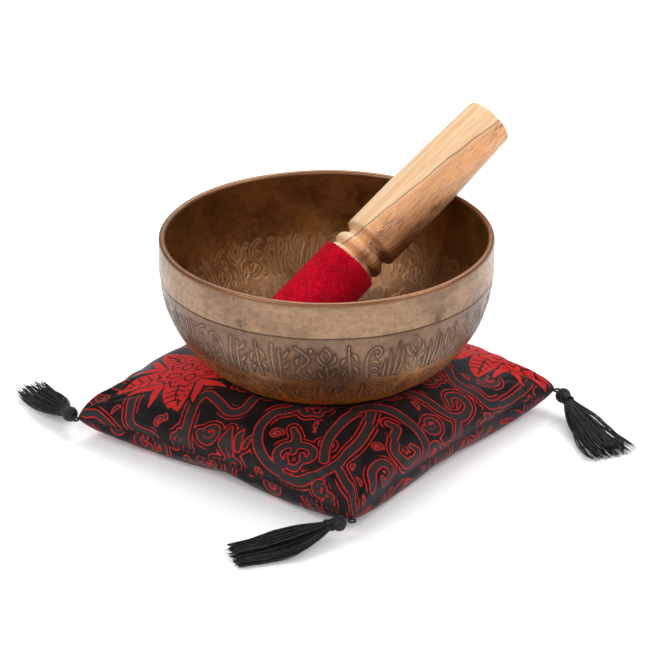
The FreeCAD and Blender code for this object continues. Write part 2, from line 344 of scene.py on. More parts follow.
@dataclass(frozen=True)
class AgedBronze:
    """Satin aged bronze: a worn tan band at the lip and a browner engraved field below it.

    The ornament attribute holds the distance to the edge of the nearest engraved stroke.
    """

    name: str
    band: tuple[float, float, float]
    field_light: tuple[float, float, float]
    field_dark: tuple[float, float, float]
    low_patina_and_shade: tuple[float, float, float]
    groove: tuple[float, float, float]
    stroke: tuple[float, float, float]
    lip_height: float
    line_height: float
    foot_height: float
    roughness: float = 0.36
    stroke_lift: float = 0.5
    stain: float = 0.75
    lip_tone: tuple[float, float, float] = (0.20, 0.085, 0.032)
    ash: tuple[float, float, float] = (0.155, 0.098, 0.066)

    def material(self) -> bpy.types.Material:
        """Returns the finished material."""
        g = Graph(self.name)
        height = g.axis("Z")
        cloud = g.noise(42.0, 5.0, 0.6)
        fine = g.noise(420.0, 4.0, 0.65)
        speck = g.noise(1500.0, 2.0, 0.5)
        field_tone = g.blend(g.spread(cloud, 0.38, 0.60), self.field_dark, self.field_light)
        drop = self.line_height - self.foot_height
        # Low on the wall the field takes another colour: an orange patina on the outside, and on the inside a
        # darker brown that is painted shade in the hollow.
        low = g.spread(height, self.foot_height + drop * 0.18, self.foot_height + drop * 0.72, 1.0, 0.0)
        low = g.math("MULTIPLY", low, g.spread(g.noise(34.0, 3.0), 0.2, 0.5, 0.5, 1.0))
        field_tone = g.blend(low, field_tone, self.low_patina_and_shade)
        clouds = g.noise(30.0, 6.0, 0.62, g.stretched((1.0, 1.0, 1.9)))
        band_tone = g.blend(g.spread(clouds, 0.42, 0.64), self.band, tuple(c * 0.60 for c in self.band))
        brushed = g.noise(170.0, 5.0, 0.7, g.stretched((0.5, 0.5, 5.0)))
        band_tone = g.blend(g.spread(brushed, 0.46, 0.72, 0.0, 0.30), band_tone, self.field_dark)
        bloom = g.math("MULTIPLY", g.spread(g.noise(26.0, 5.0, 0.62), 0.48, 0.62),
            g.math("SUBTRACT", 1.0, low))
        field_tone = g.blend(g.math("MULTIPLY", bloom, self.stain), field_tone, self.ash)
        shade = g.spread(height, self.line_height - 0.016, self.line_height - 0.003, 0.0, 0.8)
        field_tone = g.blend(g.math("MULTIPLY", shade, self.stain), field_tone, self.ash)
        on_band = g.spread(height, self.line_height - 0.0004, self.line_height + 0.0002)
        base = g.blend(on_band, field_tone, band_tone)
        streak = g.noise(60.0, 4.0, 0.7, g.stretched((1.0, 1.0, 3.5)))
        near_line = g.spread(height, self.line_height + 0.0005, self.line_height + 0.011, 1.0, 0.0)
        near_line = g.math("MULTIPLY", near_line, on_band)
        stains = g.math("MULTIPLY", g.spread(g.noise(48.0, 6.0, 0.75), 0.53, 0.62), near_line)
        scratch = g.spread(g.noise(150.0, 3.0, 0.8, g.stretched((0.55, 0.55, 2.6))), 0.67, 0.73)
        marks = g.math("MAXIMUM", stains, g.math("MULTIPLY", scratch, 0.8))
        nick = g.spread(g.cells(80.0, "F1", g.stretched((1.0, 1.0, 0.42))), 0.05, 0.10, 1.0, 0.0)
        marks = g.math("MAXIMUM", marks, g.math("MULTIPLY", nick, on_band))
        base = g.blend(g.math("MULTIPLY", marks, self.stain), base, tuple(c * 0.32 for c in self.field_dark))
        base = g.blend(g.math("MULTIPLY", g.spread(streak, 0.45, 0.8), 0.35), base, self.field_dark)
        edge = g.attribute("ornament")
        inside = g.spread(edge, -0.55, -0.1, 1.0, 0.0)
        worn = g.spread(g.noise(70.0, 3.0), 0.3, 0.6, 0.35, 1.0)
        base = g.blend(g.math("MULTIPLY", g.math("MULTIPLY", inside, worn), self.stroke_lift), base,
            self.stroke)
        line = g.spread(g.math("ABSOLUTE", edge), 0.14, 0.50, 1.0, 0.0)
        halo = g.spread(edge, 0.1, 1.8, 0.5, 0.0)
        dark = g.math("MAXIMUM", g.math("MULTIPLY", line, worn),
            g.math("MULTIPLY", halo, g.spread(edge, -0.3, 0.1)))
        base = g.blend(g.math("MULTIPLY", dark, 0.92), base, self.groove)
        ring = g.math("ABSOLUTE", g.math("SUBTRACT", height, self.line_height))
        base = g.blend(g.spread(ring, 0.0001, 0.0006, 0.75, 0.0), base, self.groove)
        base = g.blend(g.spread(fine, 0.3, 0.7, 0.0, 0.22), base, self.groove)
        lip = g.spread(height, self.lip_height - 0.0030, self.lip_height - 0.0012)
        base = g.blend(g.math("MULTIPLY", lip, 0.9), base, self.lip_tone)
        rough = g.math("ADD", g.spread(fine, 0.25, 0.75, self.roughness - 0.07, self.roughness + 0.12), 0.0)
        rough = g.math("ADD", rough, g.math("MULTIPLY", line, 0.2), clamp=True)
        g.set(Base_Color=base, Roughness=rough, Metallic=0.82, Coat_Weight=0.22, Coat_Roughness=0.24)
        g.bump(g.cells(95.0), 0.0016, 0.16)
        g.bump(fine, 0.00018, 0.35)
        g.bump(speck, 0.00007, 0.3)
        return g.material


@dataclass(frozen=True)
class TurnedWood:
    """Oiled wood whose pale sapwood meets brown heartwood along the mallet."""

    name: str
    origin: tuple[float, float, float]
    turn: Euler
    sap: tuple[float, float, float] = (0.83, 0.58, 0.345)
    sap_dark: tuple[float, float, float] = (0.68, 0.385, 0.185)
    heart: tuple[float, float, float] = (0.80, 0.375, 0.155)
    heart_dark: tuple[float, float, float] = (0.17, 0.045, 0.013)

    def material(self) -> bpy.types.Material:
        """Returns the finished material."""
        g = Graph(self.name)
        own = g.carried(self.origin, self.turn)
        across = g.math("MULTIPLY", g.axis("X", own), 0.742)
        across = g.math("SUBTRACT", across, g.math("MULTIPLY", g.axis("Y", own), 0.670))
        along = g.axis("Z", own)
        wander = g.noise(14.0, 3.0, 0.55, g.stretched((1.0, 1.0, 0.45), own))
        split = g.math("ADD", across, g.math("MULTIPLY", g.math("SUBTRACT", wander, 0.5), 0.009))
        shake = g.noise(90.0, 3.0, 0.6, g.stretched((1.0, 1.0, 0.5), own))
        split = g.math("ADD", split, g.math("MULTIPLY", g.math("SUBTRACT", shake, 0.5), 0.0028))
        split = g.math("ADD", split, g.math("MULTIPLY", along, -0.12))
        split = g.math("ADD", split, 0.0088)
        heart = g.spread(split, -0.0005, 0.0014)
        ring = g.noise(420.0, 5.0, 0.65, g.stretched((1.0, 1.0, 0.03), own))
        hair = g.noise(1900.0, 2.0, 0.6, g.stretched((1.0, 1.0, 0.02), own))
        pore = g.noise(2100.0, 2.0, 0.6, g.stretched((1.0, 1.0, 0.09), own))
        broad = g.noise(95.0, 3.0, 0.6, g.stretched((1.0, 1.0, 0.14), own))
        sap = g.blend(g.spread(ring, 0.35, 0.7), self.sap, self.sap_dark)
        brown = g.blend(g.spread(broad, 0.50, 0.74, 0.0, 0.42), self.heart, self.heart_dark)
        brown = g.blend(g.spread(ring, 0.3, 0.7, 0.0, 0.5), brown, self.sap_dark)
        far = g.spread(split, 0.002, 0.016)
        patch = g.math("MULTIPLY", g.spread(along, 0.018, 0.062, 1.0, 0.0),
            g.spread(broad, 0.30, 0.60, 0.35, 1.0))
        brown = g.blend(g.math("MULTIPLY", patch, far), brown, self.heart_dark)
        base = g.blend(heart, sap, brown)
        base = g.blend(g.spread(hair, 0.42, 0.66, 0.0, 0.15), base, self.heart_dark)
        rich = g.math("ADD", g.math("MULTIPLY", heart, 0.80), 0.08)
        flecks = g.spread(g.noise(60.0, 2.0, 0.5, g.stretched((1.0, 1.0, 0.3), own)), 0.38, 0.58, 0.25, 1.0)
        dash = g.math("MULTIPLY", g.math("MULTIPLY", g.spread(pore, 0.50, 0.58), flecks), rich)
        base = g.blend(dash, base, tuple(c * 0.4 for c in self.heart_dark))
        seam = g.spread(g.math("ABSOLUTE", g.math("ADD", split, 0.0004)), 0.0001, 0.0006, 0.7, 0.0)
        base = g.blend(seam, base, self.heart_dark)
        g.set(Base_Color=base, Roughness=g.spread(pore, 0.3, 0.7, 0.38, 0.52), Coat_Weight=0.10,
            Coat_Roughness=0.35)
        g.bump(pore, 0.0003, 0.35)
        g.bump(ring, 0.0003, 0.18)
        return g.material


@dataclass(frozen=True)
class Suede:
    """Napped leather with pale fibre ends."""

    name: str = "crimson_suede"
    deep: tuple[float, float, float] = (0.33, 0.0008, 0.008)
    bright: tuple[float, float, float] = (0.53, 0.0016, 0.016)
    fuzz: tuple[float, float, float] = (0.80, 0.10, 0.12)

    def material(self) -> bpy.types.Material:
        """Returns the finished material."""
        g = Graph(self.name)
        nap = g.noise(900.0, 5.0, 0.7)
        patch = g.noise(120.0, 3.0, 0.6)
        base = g.blend(g.spread(patch, 0.3, 0.7), self.deep, self.bright)
        base = g.blend(g.spread(nap, 0.25, 0.6, 0.35, 0.0), base, tuple(c * 0.55 for c in self.deep))
        base = g.blend(g.spread(g.noise(2300.0, 2.0, 0.6), 0.60, 0.72, 0.0, 0.60), base, self.fuzz)
        g.set(Base_Color=base, Roughness=0.95, Sheen_Weight=0.12, Sheen_Roughness=0.5,
            Sheen_Tint=(1.0, 0.12, 0.15))
        g.shader.inputs["Specular IOR Level"].default_value = 0.03
        g.bump(nap, 0.0007, 0.6)
        g.bump(patch, 0.0012, 0.25)
        return g.material


@dataclass(frozen=True)
class PlainThread:
    """Silky or matt thread."""

    name: str
    colour: tuple[float, float, float]
    light: tuple[float, float, float]
    roughness: float = 0.42
    gloss: float = 0.18

    def material(self) -> bpy.types.Material:
        """Returns the finished material."""
        g = Graph(self.name)
        base = g.blend(g.spread(g.noise(600.0, 3.0), 0.4, 0.7), self.colour, self.light)
        g.set(Base_Color=base, Roughness=g.spread(g.noise(1800.0, 2.0), 0.3, 0.7, self.roughness,
            self.roughness + 0.2))
        g.shader.inputs["Specular IOR Level"].default_value = self.gloss
        g.bump(g.noise(2500.0, 2.0), 0.0002, 0.4)
        return g.material


@dataclass(frozen=True)
class Brocade:
    """Black satin with a woven pattern: red outlines round grey twill, and red flowers."""

    name: str = "brocade"
    satin: tuple[float, float, float] = (0.0045, 0.0035, 0.0040)
    satin_light: tuple[float, float, float] = (0.010, 0.0085, 0.0095)
    twill: tuple[float, float, float] = (0.032, 0.027, 0.028)
    red: tuple[float, float, float] = (0.62, 0.022, 0.018)
    red_deep: tuple[float, float, float] = (0.36, 0.008, 0.010)
    outline: float = 0.30
    echo: float = 1.9

    def material(self) -> bpy.types.Material:
        """Returns the finished material."""
        g = Graph(self.name)
        cloth = g.node("ShaderNodeAttribute", attribute_name="cloth").outputs["Vector"]
        jag = g.math("MULTIPLY", g.math("SUBTRACT", g.noise(1.3, 2.0, 0.6, cloth), 0.5), 0.55)
        under = g.math("ADD", g.attribute("under"), jag)
        over = g.math("ADD", g.attribute("over"), jag)
        bloom = g.math("ADD", g.attribute("bloom"), jag)
        vein = g.attribute("vein")
        rib = self.stripes(g, cloth, 1.0, 1.0, 1.45)
        fill = g.blend(rib, self.twill, tuple(c * 0.45 for c in self.twill))
        ground = g.blend(g.spread(g.noise(0.05, 3.0, 0.5, cloth), 0.35, 0.65), self.satin, self.satin_light)
        red = g.blend(g.spread(g.noise(0.9, 2.0, 0.5, cloth), 0.3, 0.7), self.red, self.red_deep)
        weft = self.stripes(g, cloth, 0.15, 1.0, 1.9)
        barbs = self.stripes(g, cloth, 0.9, 0.35, 0.62)
        petal = g.blend(g.math("MULTIPLY", barbs, 0.45), self.red, red)
        petal = g.blend(g.math("MULTIPLY", weft, 0.45), petal, self.red_deep)
        red = g.blend(g.math("MULTIPLY", weft, 0.4), red, self.red_deep)
        base = g.blend(self.within(g, under), ground, fill)
        base = g.blend(self.border(g, under), base, red)
        twin = g.spread(g.math("ABSOLUTE", g.math("SUBTRACT", under, self.echo)), self.outline - 0.16,
            self.outline + 0.10, 1.0, 0.0)
        twin = g.math("MULTIPLY", twin, g.spread(g.noise(0.045, 1.0, 0.5, cloth), 0.44, 0.50))
        base = g.blend(twin, base, red)
        base = g.blend(self.within(g, over, 0.9), base, ground)
        base = g.blend(self.within(g, over), base, fill)
        base = g.blend(self.border(g, over), base, red)
        base = g.blend(self.within(g, bloom, 1.3), base, ground)
        base = g.blend(self.within(g, bloom), base, petal)
        base = g.blend(g.spread(g.math("ABSOLUTE", vein), 0.26, 0.54, 0.97, 0.0), base, self.satin)
        dash = g.spread(self.stripes(g, cloth, 1.0, 0.0, 0.33), 0.25, 0.5, 0.35, 0.95)
        base = g.blend(g.math("MULTIPLY", g.spread(g.attribute("seam"), 0.25, 0.9, 1.0, 0.0), dash), base,
            self.satin)
        relief = g.math("MAXIMUM", self.border(g, under), self.border(g, over))
        relief = g.math("MAXIMUM", relief, self.within(g, bloom))
        shine = g.math("SUBTRACT", 0.40, g.math("MULTIPLY", relief, -0.22))
        g.set(Base_Color=base, Roughness=shine, Sheen_Weight=0.04, Sheen_Roughness=0.4)
        g.shader.inputs["Specular IOR Level"].default_value = 0.10
        g.bump(relief, 0.00018, 0.7)
        g.bump(weft, 0.00006, 0.35)
        return g.material

    def stripes(self, g: Graph, cloth: Socket, across: float, along: float, pitch: float) -> Socket:
        """Returns soft stripes of thread, with the pitch in stripes per millimetre."""
        slant = g.math("MULTIPLY", g.axis("X", cloth), across)
        slant = g.math("ADD", slant, g.math("MULTIPLY", g.axis("Y", cloth), along))
        wave = g.math("SINE", g.math("MULTIPLY", slant, pitch * math.tau))
        return g.math("ADD", g.math("MULTIPLY", wave, 0.5), 0.5)

    def within(self, g: Graph, distance: Socket, grow: float = 0.0) -> Socket:
        """Returns 1 inside a shape grown by some millimetres."""
        return g.spread(distance, grow - 0.12, grow + 0.12, 1.0, 0.0)

    def border(self, g: Graph, distance: Socket) -> Socket:
        """Returns 1 on the outline of a shape."""
        return g.spread(g.math("ABSOLUTE", distance), self.outline - 0.16, self.outline + 0.14, 1.0, 0.0)


# The bowl -------------------------------------------------------------------------------


class Ornament(Enum):
    """Engraved plant forms, each drawn in a cell 12 mm wide and 22 mm tall with Y downwards."""

    BAMBOO = (
        ((2.6, 1.4, 0.7), (2.4, 11.0, 0.75), (2.8, 20.8, 0.7)),
        ((5.8, 3.2, 0.7), (6.0, 12.0, 0.75), (5.7, 20.8, 0.7)),
        ((6.6, 8.0, 0.4), (8.8, 6.0, 0.85), (10.6, 2.6, 0.4)),
        ((6.8, 14.6, 0.4), (9.0, 12.6, 0.85), (10.8, 9.2, 0.4)),
        ((9.6, 15.6, 0.6), (9.4, 20.6, 0.75)),
    )
    FERN = (
        ((3.4, 20.8, 0.75), (3.0, 13.0, 0.75), (4.0, 6.4, 0.7), (7.0, 2.6, 0.7), (9.8, 4.6, 0.7),
         (8.8, 7.6, 0.65),
         (6.8, 6.6, 0.55)),
        ((4.2, 12.6, 0.4), (6.8, 10.8, 0.85), (9.6, 11.8, 0.4)),
        ((4.2, 16.4, 0.4), (6.8, 14.8, 0.85), (9.8, 15.8, 0.4)),
        ((4.6, 20.4, 0.4), (7.2, 18.8, 0.85), (10.2, 20.0, 0.4)),
    )
    LOTUS = (
        ((6.0, 1.2, 0.5), (8.1, 5.0, 0.65), (6.0, 9.2, 0.5)),
        ((6.0, 1.2, 0.5), (3.9, 5.0, 0.65), (6.0, 9.2, 0.5)),
        ((2.0, 4.4, 0.4), (2.2, 8.4, 0.8), (5.4, 11.4, 0.5)),
        ((10.0, 4.4, 0.4), (9.8, 8.4, 0.8), (6.6, 11.4, 0.5)),
        ((6.0, 12.4, 0.7), (5.8, 20.8, 0.7)),
        ((5.0, 18.8, 0.4), (3.0, 17.6, 0.85), (1.8, 14.2, 0.4)),
        ((6.9, 19.8, 0.4), (9.0, 18.4, 0.85), (10.2, 15.0, 0.4)),
    )
    VINE = (
        ((2.2, 1.6, 0.7), (6.2, 3.8, 0.7), (8.8, 8.0, 0.75), (6.0, 12.0, 0.75), (3.4, 15.8, 0.75),
         (6.0, 19.2, 0.7),
         (9.8, 20.6, 0.7)),
        ((4.6, 6.6, 0.4), (3.2, 9.0, 0.9), (3.4, 11.6, 0.4)),
        ((7.6, 13.2, 0.4), (9.4, 14.8, 0.9), (9.8, 17.6, 0.4)),
        ((10.0, 2.4, 0.9), (10.2, 3.2, 0.9)),
        ((2.2, 20.0, 0.9), (2.4, 20.6, 0.9)),
    )
    GRASS = (
        ((2.6, 20.8, 0.8), (2.1, 12.0, 0.75), (2.9, 3.6, 0.4)),
        ((5.0, 20.8, 0.8), (5.0, 11.0, 0.8), (4.8, 1.2, 0.4)),
        ((7.6, 20.8, 0.8), (7.9, 12.6, 0.75), (8.8, 4.4, 0.4)),
        ((10.2, 20.8, 0.7), (10.5, 15.0, 0.75), (10.4, 9.4, 0.4)),
    )
    BUD = (
        ((6.0, 8.0, 0.6), (3.8, 5.2, 0.65), (6.0, 1.4, 0.5), (8.2, 5.2, 0.65), (6.0, 8.0, 0.6)),
        ((6.0, 4.4, 0.6), (6.0, 5.4, 0.6)),
        ((6.0, 9.6, 0.7), (6.3, 15.0, 0.7), (5.8, 20.8, 0.7)),
        ((5.0, 14.6, 0.4), (3.0, 13.0, 0.85), (1.8, 9.6, 0.4)),
        ((7.3, 16.0, 0.4), (9.2, 14.6, 0.85), (10.4, 11.2, 0.4)),
        ((4.8, 20.2, 0.4), (3.0, 19.2, 0.8), (1.6, 16.4, 0.4)),
    )
    POD = (
        ((4.0, 1.6, 0.5), (2.1, 6.4, 0.65), (4.0, 11.6, 0.5)),
        ((4.0, 1.6, 0.5), (5.9, 6.4, 0.65), (4.0, 11.6, 0.5)),
        ((4.0, 5.0, 0.55), (4.0, 8.4, 0.55)),
        ((4.1, 12.6, 0.7), (5.0, 17.0, 0.7), (4.2, 20.8, 0.7)),
        ((8.4, 2.6, 0.5), (9.6, 8.2, 0.85), (8.2, 13.6, 0.5)),
        ((10.4, 13.6, 0.5), (9.4, 17.2, 0.85), (7.4, 20.4, 0.5)),
    )
    SPROUTS = (
        ((3.0, 20.8, 0.7), (3.2, 14.0, 0.7), (1.8, 9.0, 0.7), (3.4, 5.6, 0.6), (5.0, 7.4, 0.6)),
        ((6.0, 20.8, 0.7), (6.2, 12.0, 0.7), (7.6, 7.0, 0.7), (6.0, 2.6, 0.6), (4.2, 2.8, 0.6)),
        ((9.4, 20.8, 0.7), (9.0, 15.4, 0.75), (10.6, 10.4, 0.5)),
        ((9.6, 2.4, 0.4), (10.2, 5.4, 0.85), (9.2, 8.4, 0.4)),
    )
    WILLOW = (
        ((6.0, 1.2, 0.6), (6.2, 11.0, 0.7), (6.0, 20.8, 0.7)),
        ((5.0, 4.6, 0.4), (3.0, 7.2, 0.85), (2.4, 10.6, 0.4)),
        ((7.2, 6.6, 0.4), (9.2, 9.2, 0.85), (9.8, 12.6, 0.4)),
        ((4.8, 11.6, 0.4), (3.0, 14.2, 0.85), (2.4, 17.6, 0.4)),
        ((7.2, 13.4, 0.4), (9.2, 16.0, 0.85), (9.8, 19.6, 0.4)),
    )


@dataclass(frozen=True)
class OrnamentRow:
    """A row of engraved ornaments round the bowl.

    top and bottom are measured down the wall from the lip.
    """

    top: float
    bottom: float
    count: int
    seed: int

    def field(self, turn: np.ndarray, run: np.ndarray, radius: float) -> np.ndarray:
        """Measures the distance to the row's nearest stroke edge.

        Args:
            turn: each point's angle round the bowl in radians, with the back at the ends.
            run: each point's distance down the wall.
            radius: the wall's radius at the middle of the row.

        Returns:
            The distance for each point.
        """
        draw = random.Random(self.seed)
        pitch = math.tau * radius / self.count
        tall = (self.bottom - self.top) / 22.0
        wide = pitch / 12.0
        kinds = list(Ornament)
        strokes, last = [], None
        for number in range(self.count):
            kind = draw.choice([k for k in kinds if k is not last])
            last = kind
            flip = draw.random() < 0.5
            lean = draw.uniform(-0.10, 0.10)
            size = draw.uniform(0.88, 1.0)
            left = (number - self.count / 2) * pitch
            for stroke in kind.value:
                points = []
                for x, y, half in stroke:
                    x = (12.0 - x if flip else x) - 6.0 + draw.uniform(-0.3, 0.3)
                    y = 11.0 + (y - 11.0) * size + draw.uniform(-0.35, 0.35)
                    x = x * size * 1.16 - lean * (y - 11.0)
                    points.append((left + (x + 6.0) * wide, self.top + y * tall, half * 1.08))
                strokes.append(smooth_path(points, 0.5))
        return stroke_field(np.column_stack([turn * radius, run]), strokes, 2.5)


@dataclass
class Bowl:
    """The beaten bronze bowl, as an outer skin with the lip and an inner skin."""

    body: str = "bowl"
    side_arc: float = 56.0
    base_arc: float = 150.0
    straight: float = 15.5
    wall: float = 3.2
    lip_round: float = 1.4
    line_depth: float = 17.5
    line_cut: float = 0.45
    field_sink: float = 0.2
    facets: int = 720
    outer_rows: tuple[OrnamentRow, ...] = (OrnamentRow(19.8, 43.6, 45, 5), OrnamentRow(45.0, 63.8, 38, 12))
    inner_rows: tuple[OrnamentRow, ...] = (OrnamentRow(30.0, 53.0, 42, 23), OrnamentRow(56.0, 74.0, 34, 31))

    def __post_init__(self) -> None:
        """Reads the bowl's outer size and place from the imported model."""
        low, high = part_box("bowl")
        self.radius = (high[0] - low[0]) / 2 / MM
        self.lip = high[2] / MM
        self.foot = low[2] / MM - self.field_sink
        self.side_radius = self.radius - self.side_arc
        self.side_height = self.lip - self.straight
        reach = self.base_arc - self.side_arc
        self.meet = math.acos(self.side_radius / reach)
        self.base_height = self.side_height + reach * math.sin(self.meet)
        self.meet_run = self.straight + self.side_arc * self.meet
        self.meet_polar = math.pi / 2 - self.meet
        self.end_run = self.meet_run + self.base_arc * self.meet_polar

    def section(self, run: float, inset: float) -> tuple[float, float]:
        """Gives the radius and height of the wall's section.

        Args:
            run: the distance down the outer wall from the lip.
            inset: how far inside the outer face the point lies.

        Returns:
            The point's radius and height.
        """
        if run <= self.straight:
            return self.radius - inset, self.lip - run
        floor = self.foot + inset
        if run <= self.meet_run:
            angle = (run - self.straight) / self.side_arc
            arc = self.side_arc - inset
            height = max(floor, self.side_height - arc * math.sin(angle))
            return self.side_radius + arc * math.cos(angle), height
        polar = max(0.0, self.meet_polar - (run - self.meet_run) / self.base_arc)
        arc = self.base_arc - inset
        return arc * math.sin(polar), max(floor, self.base_height - arc * math.cos(polar))

    def runs_of(self, points: np.ndarray) -> tuple[np.ndarray, np.ndarray, np.ndarray]:
        """Finds where points of a skin lie on the wall.

        Args:
            points: positions on a skin.

        Returns:
            For each point its distance down the wall, and its normal's radial and upward parts.
        """
        radius = np.hypot(points[:, 0], points[:, 1])
        drop = np.arctan2(self.side_height - points[:, 2], radius - self.side_radius)
        polar = np.arctan2(radius, self.base_height - points[:, 2])
        run = self.lip - points[:, 2]
        side = (points[:, 2] < self.side_height) & (drop < self.meet)
        base = (points[:, 2] < self.side_height) & ~side
        run = np.where(side, self.straight + self.side_arc * drop, run)
        run = np.where(base, self.meet_run + self.base_arc * (self.meet_polar - polar), run)
        out = np.where(side, np.cos(drop), np.where(base, np.sin(polar), 1.0))
        up = np.where(side, -np.sin(drop), np.where(base, -np.cos(polar), 0.0))
        return run, out, up

    def spacing(self, *stops: tuple[float, float]) -> list[float]:
        """Lists distances down the wall from (end, step) stops, starting after the lip's round."""
        runs, at = [], self.lip_round
        for end, step in stops:
            count = max(1, round((end - at) / step))
            runs += [at + (end - at) * number / count for number in range(count)]
            at = end
        return runs + [at]

    def beaten(self, mesh: bpy.types.Mesh, rows: Sequence[OrnamentRow], outward: float) -> None:
        """Engraves a skin and gives it the unevenness of hand work.

        Args:
            mesh: the skin's mesh.
            rows: the ornament rows on it.
            outward: 1 on the outer skin, -1 on the inner.
        """
        points = positions(mesh)
        run, out, up = self.runs_of(points)
        turn = np.arctan2(points[:, 0], -points[:, 1])
        edge = np.full(len(points), 2.5)
        on_wall = points[:, 2] < self.lip - self.lip_round
        for row in rows:
            chosen = np.flatnonzero((run > row.top - 2.5) & (run < row.bottom + 2.5) & on_wall)
            radius = self.section((row.top + row.bottom) / 2, 0.0)[0]
            edge[chosen] = np.minimum(edge[chosen], row.field(turn[chosen], run[chosen], radius))
        store(mesh, "ornament", edge)
        cut = 0.20 * np.exp(-(edge / 0.40) ** 2)
        swell = 0.10 * np.clip(-edge / 0.7, 0.0, 1.0)
        shift = np.where(on_wall, swell - cut, 0.0)
        if outward > 0:
            below = np.clip((run - self.line_depth) / 0.3, 0.0, 1.0)
            ring = self.line_cut * np.exp(-((run - self.line_depth) / 0.32) ** 2)
            shift -= np.where(on_wall, self.field_sink * below + ring, 0.0)
        dent = 0.11 * np.sin(9 * turn + run / 9.0) * np.sin(run / 6.5 + 2.0 * np.sin(4 * turn))
        dent += 0.06 * np.sin(17 * turn - run / 5.0)
        dent *= np.clip(run / 12.0, 0.15, 1.0) * np.clip((100.0 - run) / 20.0, 0.0, 1.0)
        shift = outward * shift + dent
        flat = np.hypot(points[:, 0], points[:, 1]) + 1e-6
        points[:, 0] += shift * out * points[:, 0] / flat
        points[:, 1] += shift * out * points[:, 1] / flat
        points[:, 2] += shift * up
        sway = np.clip(1.0 - run / 30.0, 0.0, 1.0)
        points[:, 2] -= sway * (0.22 + 0.12 * np.sin(3 * turn + 1.0) + 0.10 * np.sin(7 * turn + 2.4))
        set_positions(mesh, points)

    def skin(self, name: str, profile: list[tuple[float, float]], outward: float) -> bpy.types.Object:
        """Spins a skin and turns its faces away from the metal.

        Args:
            name: the piece's name.
            profile: the skin's radii and heights from the lip to the middle of the floor.
            outward: 1 on the outer skin, -1 on the inner.

        Returns:
            The piece.
        """
        bm = spun(profile, self.facets)
        bm.normal_update()
        sample = max(bm.faces, key=lambda face: math.hypot(*face.calc_center_median().xy))
        centre = sample.calc_center_median()
        if sample.normal.dot(Vector((centre.x, centre.y, 0.0))) * outward < 0:
            bmesh.ops.reverse_faces(bm, faces=bm.faces)
        return piece_from(bm, name)

    def lip_arc(self, radius: float, first: float, last: float, count: int) -> list[tuple[float, float]]:
        """Lists points of the lip's round about a radius, in degrees from outwards to upwards."""
        points = []
        for number in range(count):
            angle = math.radians(first + (last - first) * number / (count - 1))
            height = self.lip - self.lip_round + self.lip_round * math.sin(angle)
            points.append((radius + self.lip_round * math.cos(angle), height))
        return points

    def build(self) -> None:
        """Makes both skins."""
        inner_round = self.radius - self.wall + self.lip_round
        outer_round = self.radius - self.lip_round
        lip = self.lip_arc(inner_round, 180.0, 90.0, 6) + self.lip_arc(outer_round, 90.0, 0.0, 6)
        outer_runs = self.spacing(
            (16.4, 1.4), (18.4, 0.2), (20.0, 0.7), (64.5, 0.62), (96.0, 2.6), (self.end_run, 4.0),
        )[1:]
        outer = lip + [self.section(run, 0.0) for run in outer_runs]
        inner_runs = self.spacing((31.0, 1.8), (78.0, 0.66), (100.0, 3.0), (self.end_run, 4.0))
        inner = [self.section(run, self.wall) for run in inner_runs]
        skins = (
            ("bowl_outside", outer, 1.0, self.outer_rows, self.outer_finish()),
            ("bowl_inside", inner, -1.0, self.inner_rows, self.inner_finish()),
        )
        for name, profile, outward, rows, finish in skins:
            piece = self.skin(name, profile, outward)
            self.beaten(piece.data, rows, outward)
            dress(piece, finish.material(), self.body)
            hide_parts("bowl")

    def outer_finish(self) -> AgedBronze:
        """Returns the outside's tan and brown finish."""
        return AgedBronze(
            name="bronze_outside", band=(0.335, 0.205, 0.118), field_light=(0.315, 0.175, 0.092),
            field_dark=(0.155, 0.076, 0.037), low_patina_and_shade=(0.86, 0.31, 0.030), groove=(0.045, 0.021, 0.012),
            stroke=(0.37, 0.235, 0.135), lip_height=self.lip * MM,
            line_height=(self.lip - self.line_depth) * MM,
            foot_height=self.foot * MM,
        )

    def inner_finish(self) -> AgedBronze:
        """Returns the inside's darker orange-brown finish, darker still towards the bottom as painted shade.
        """
        return AgedBronze(
            name="bronze_inside", band=(0.25, 0.10, 0.018), field_light=(0.285, 0.117, 0.021),
            # The low colour here is darker than the field: painted shade at the bottom of the hollow.
            field_dark=(0.135, 0.049, 0.008), low_patina_and_shade=(0.115, 0.048, 0.012), groove=(0.29, 0.145, 0.060),
            stroke=(0.13, 0.055, 0.016), lip_height=self.lip * MM, line_height=(self.lip - 1.0) * MM,
            foot_height=self.foot * MM, roughness=0.38, stroke_lift=0.3, stain=0.3, ash=(0.16, 0.066, 0.014),
        )


# The mallet -----------------------------------------------------------------------------


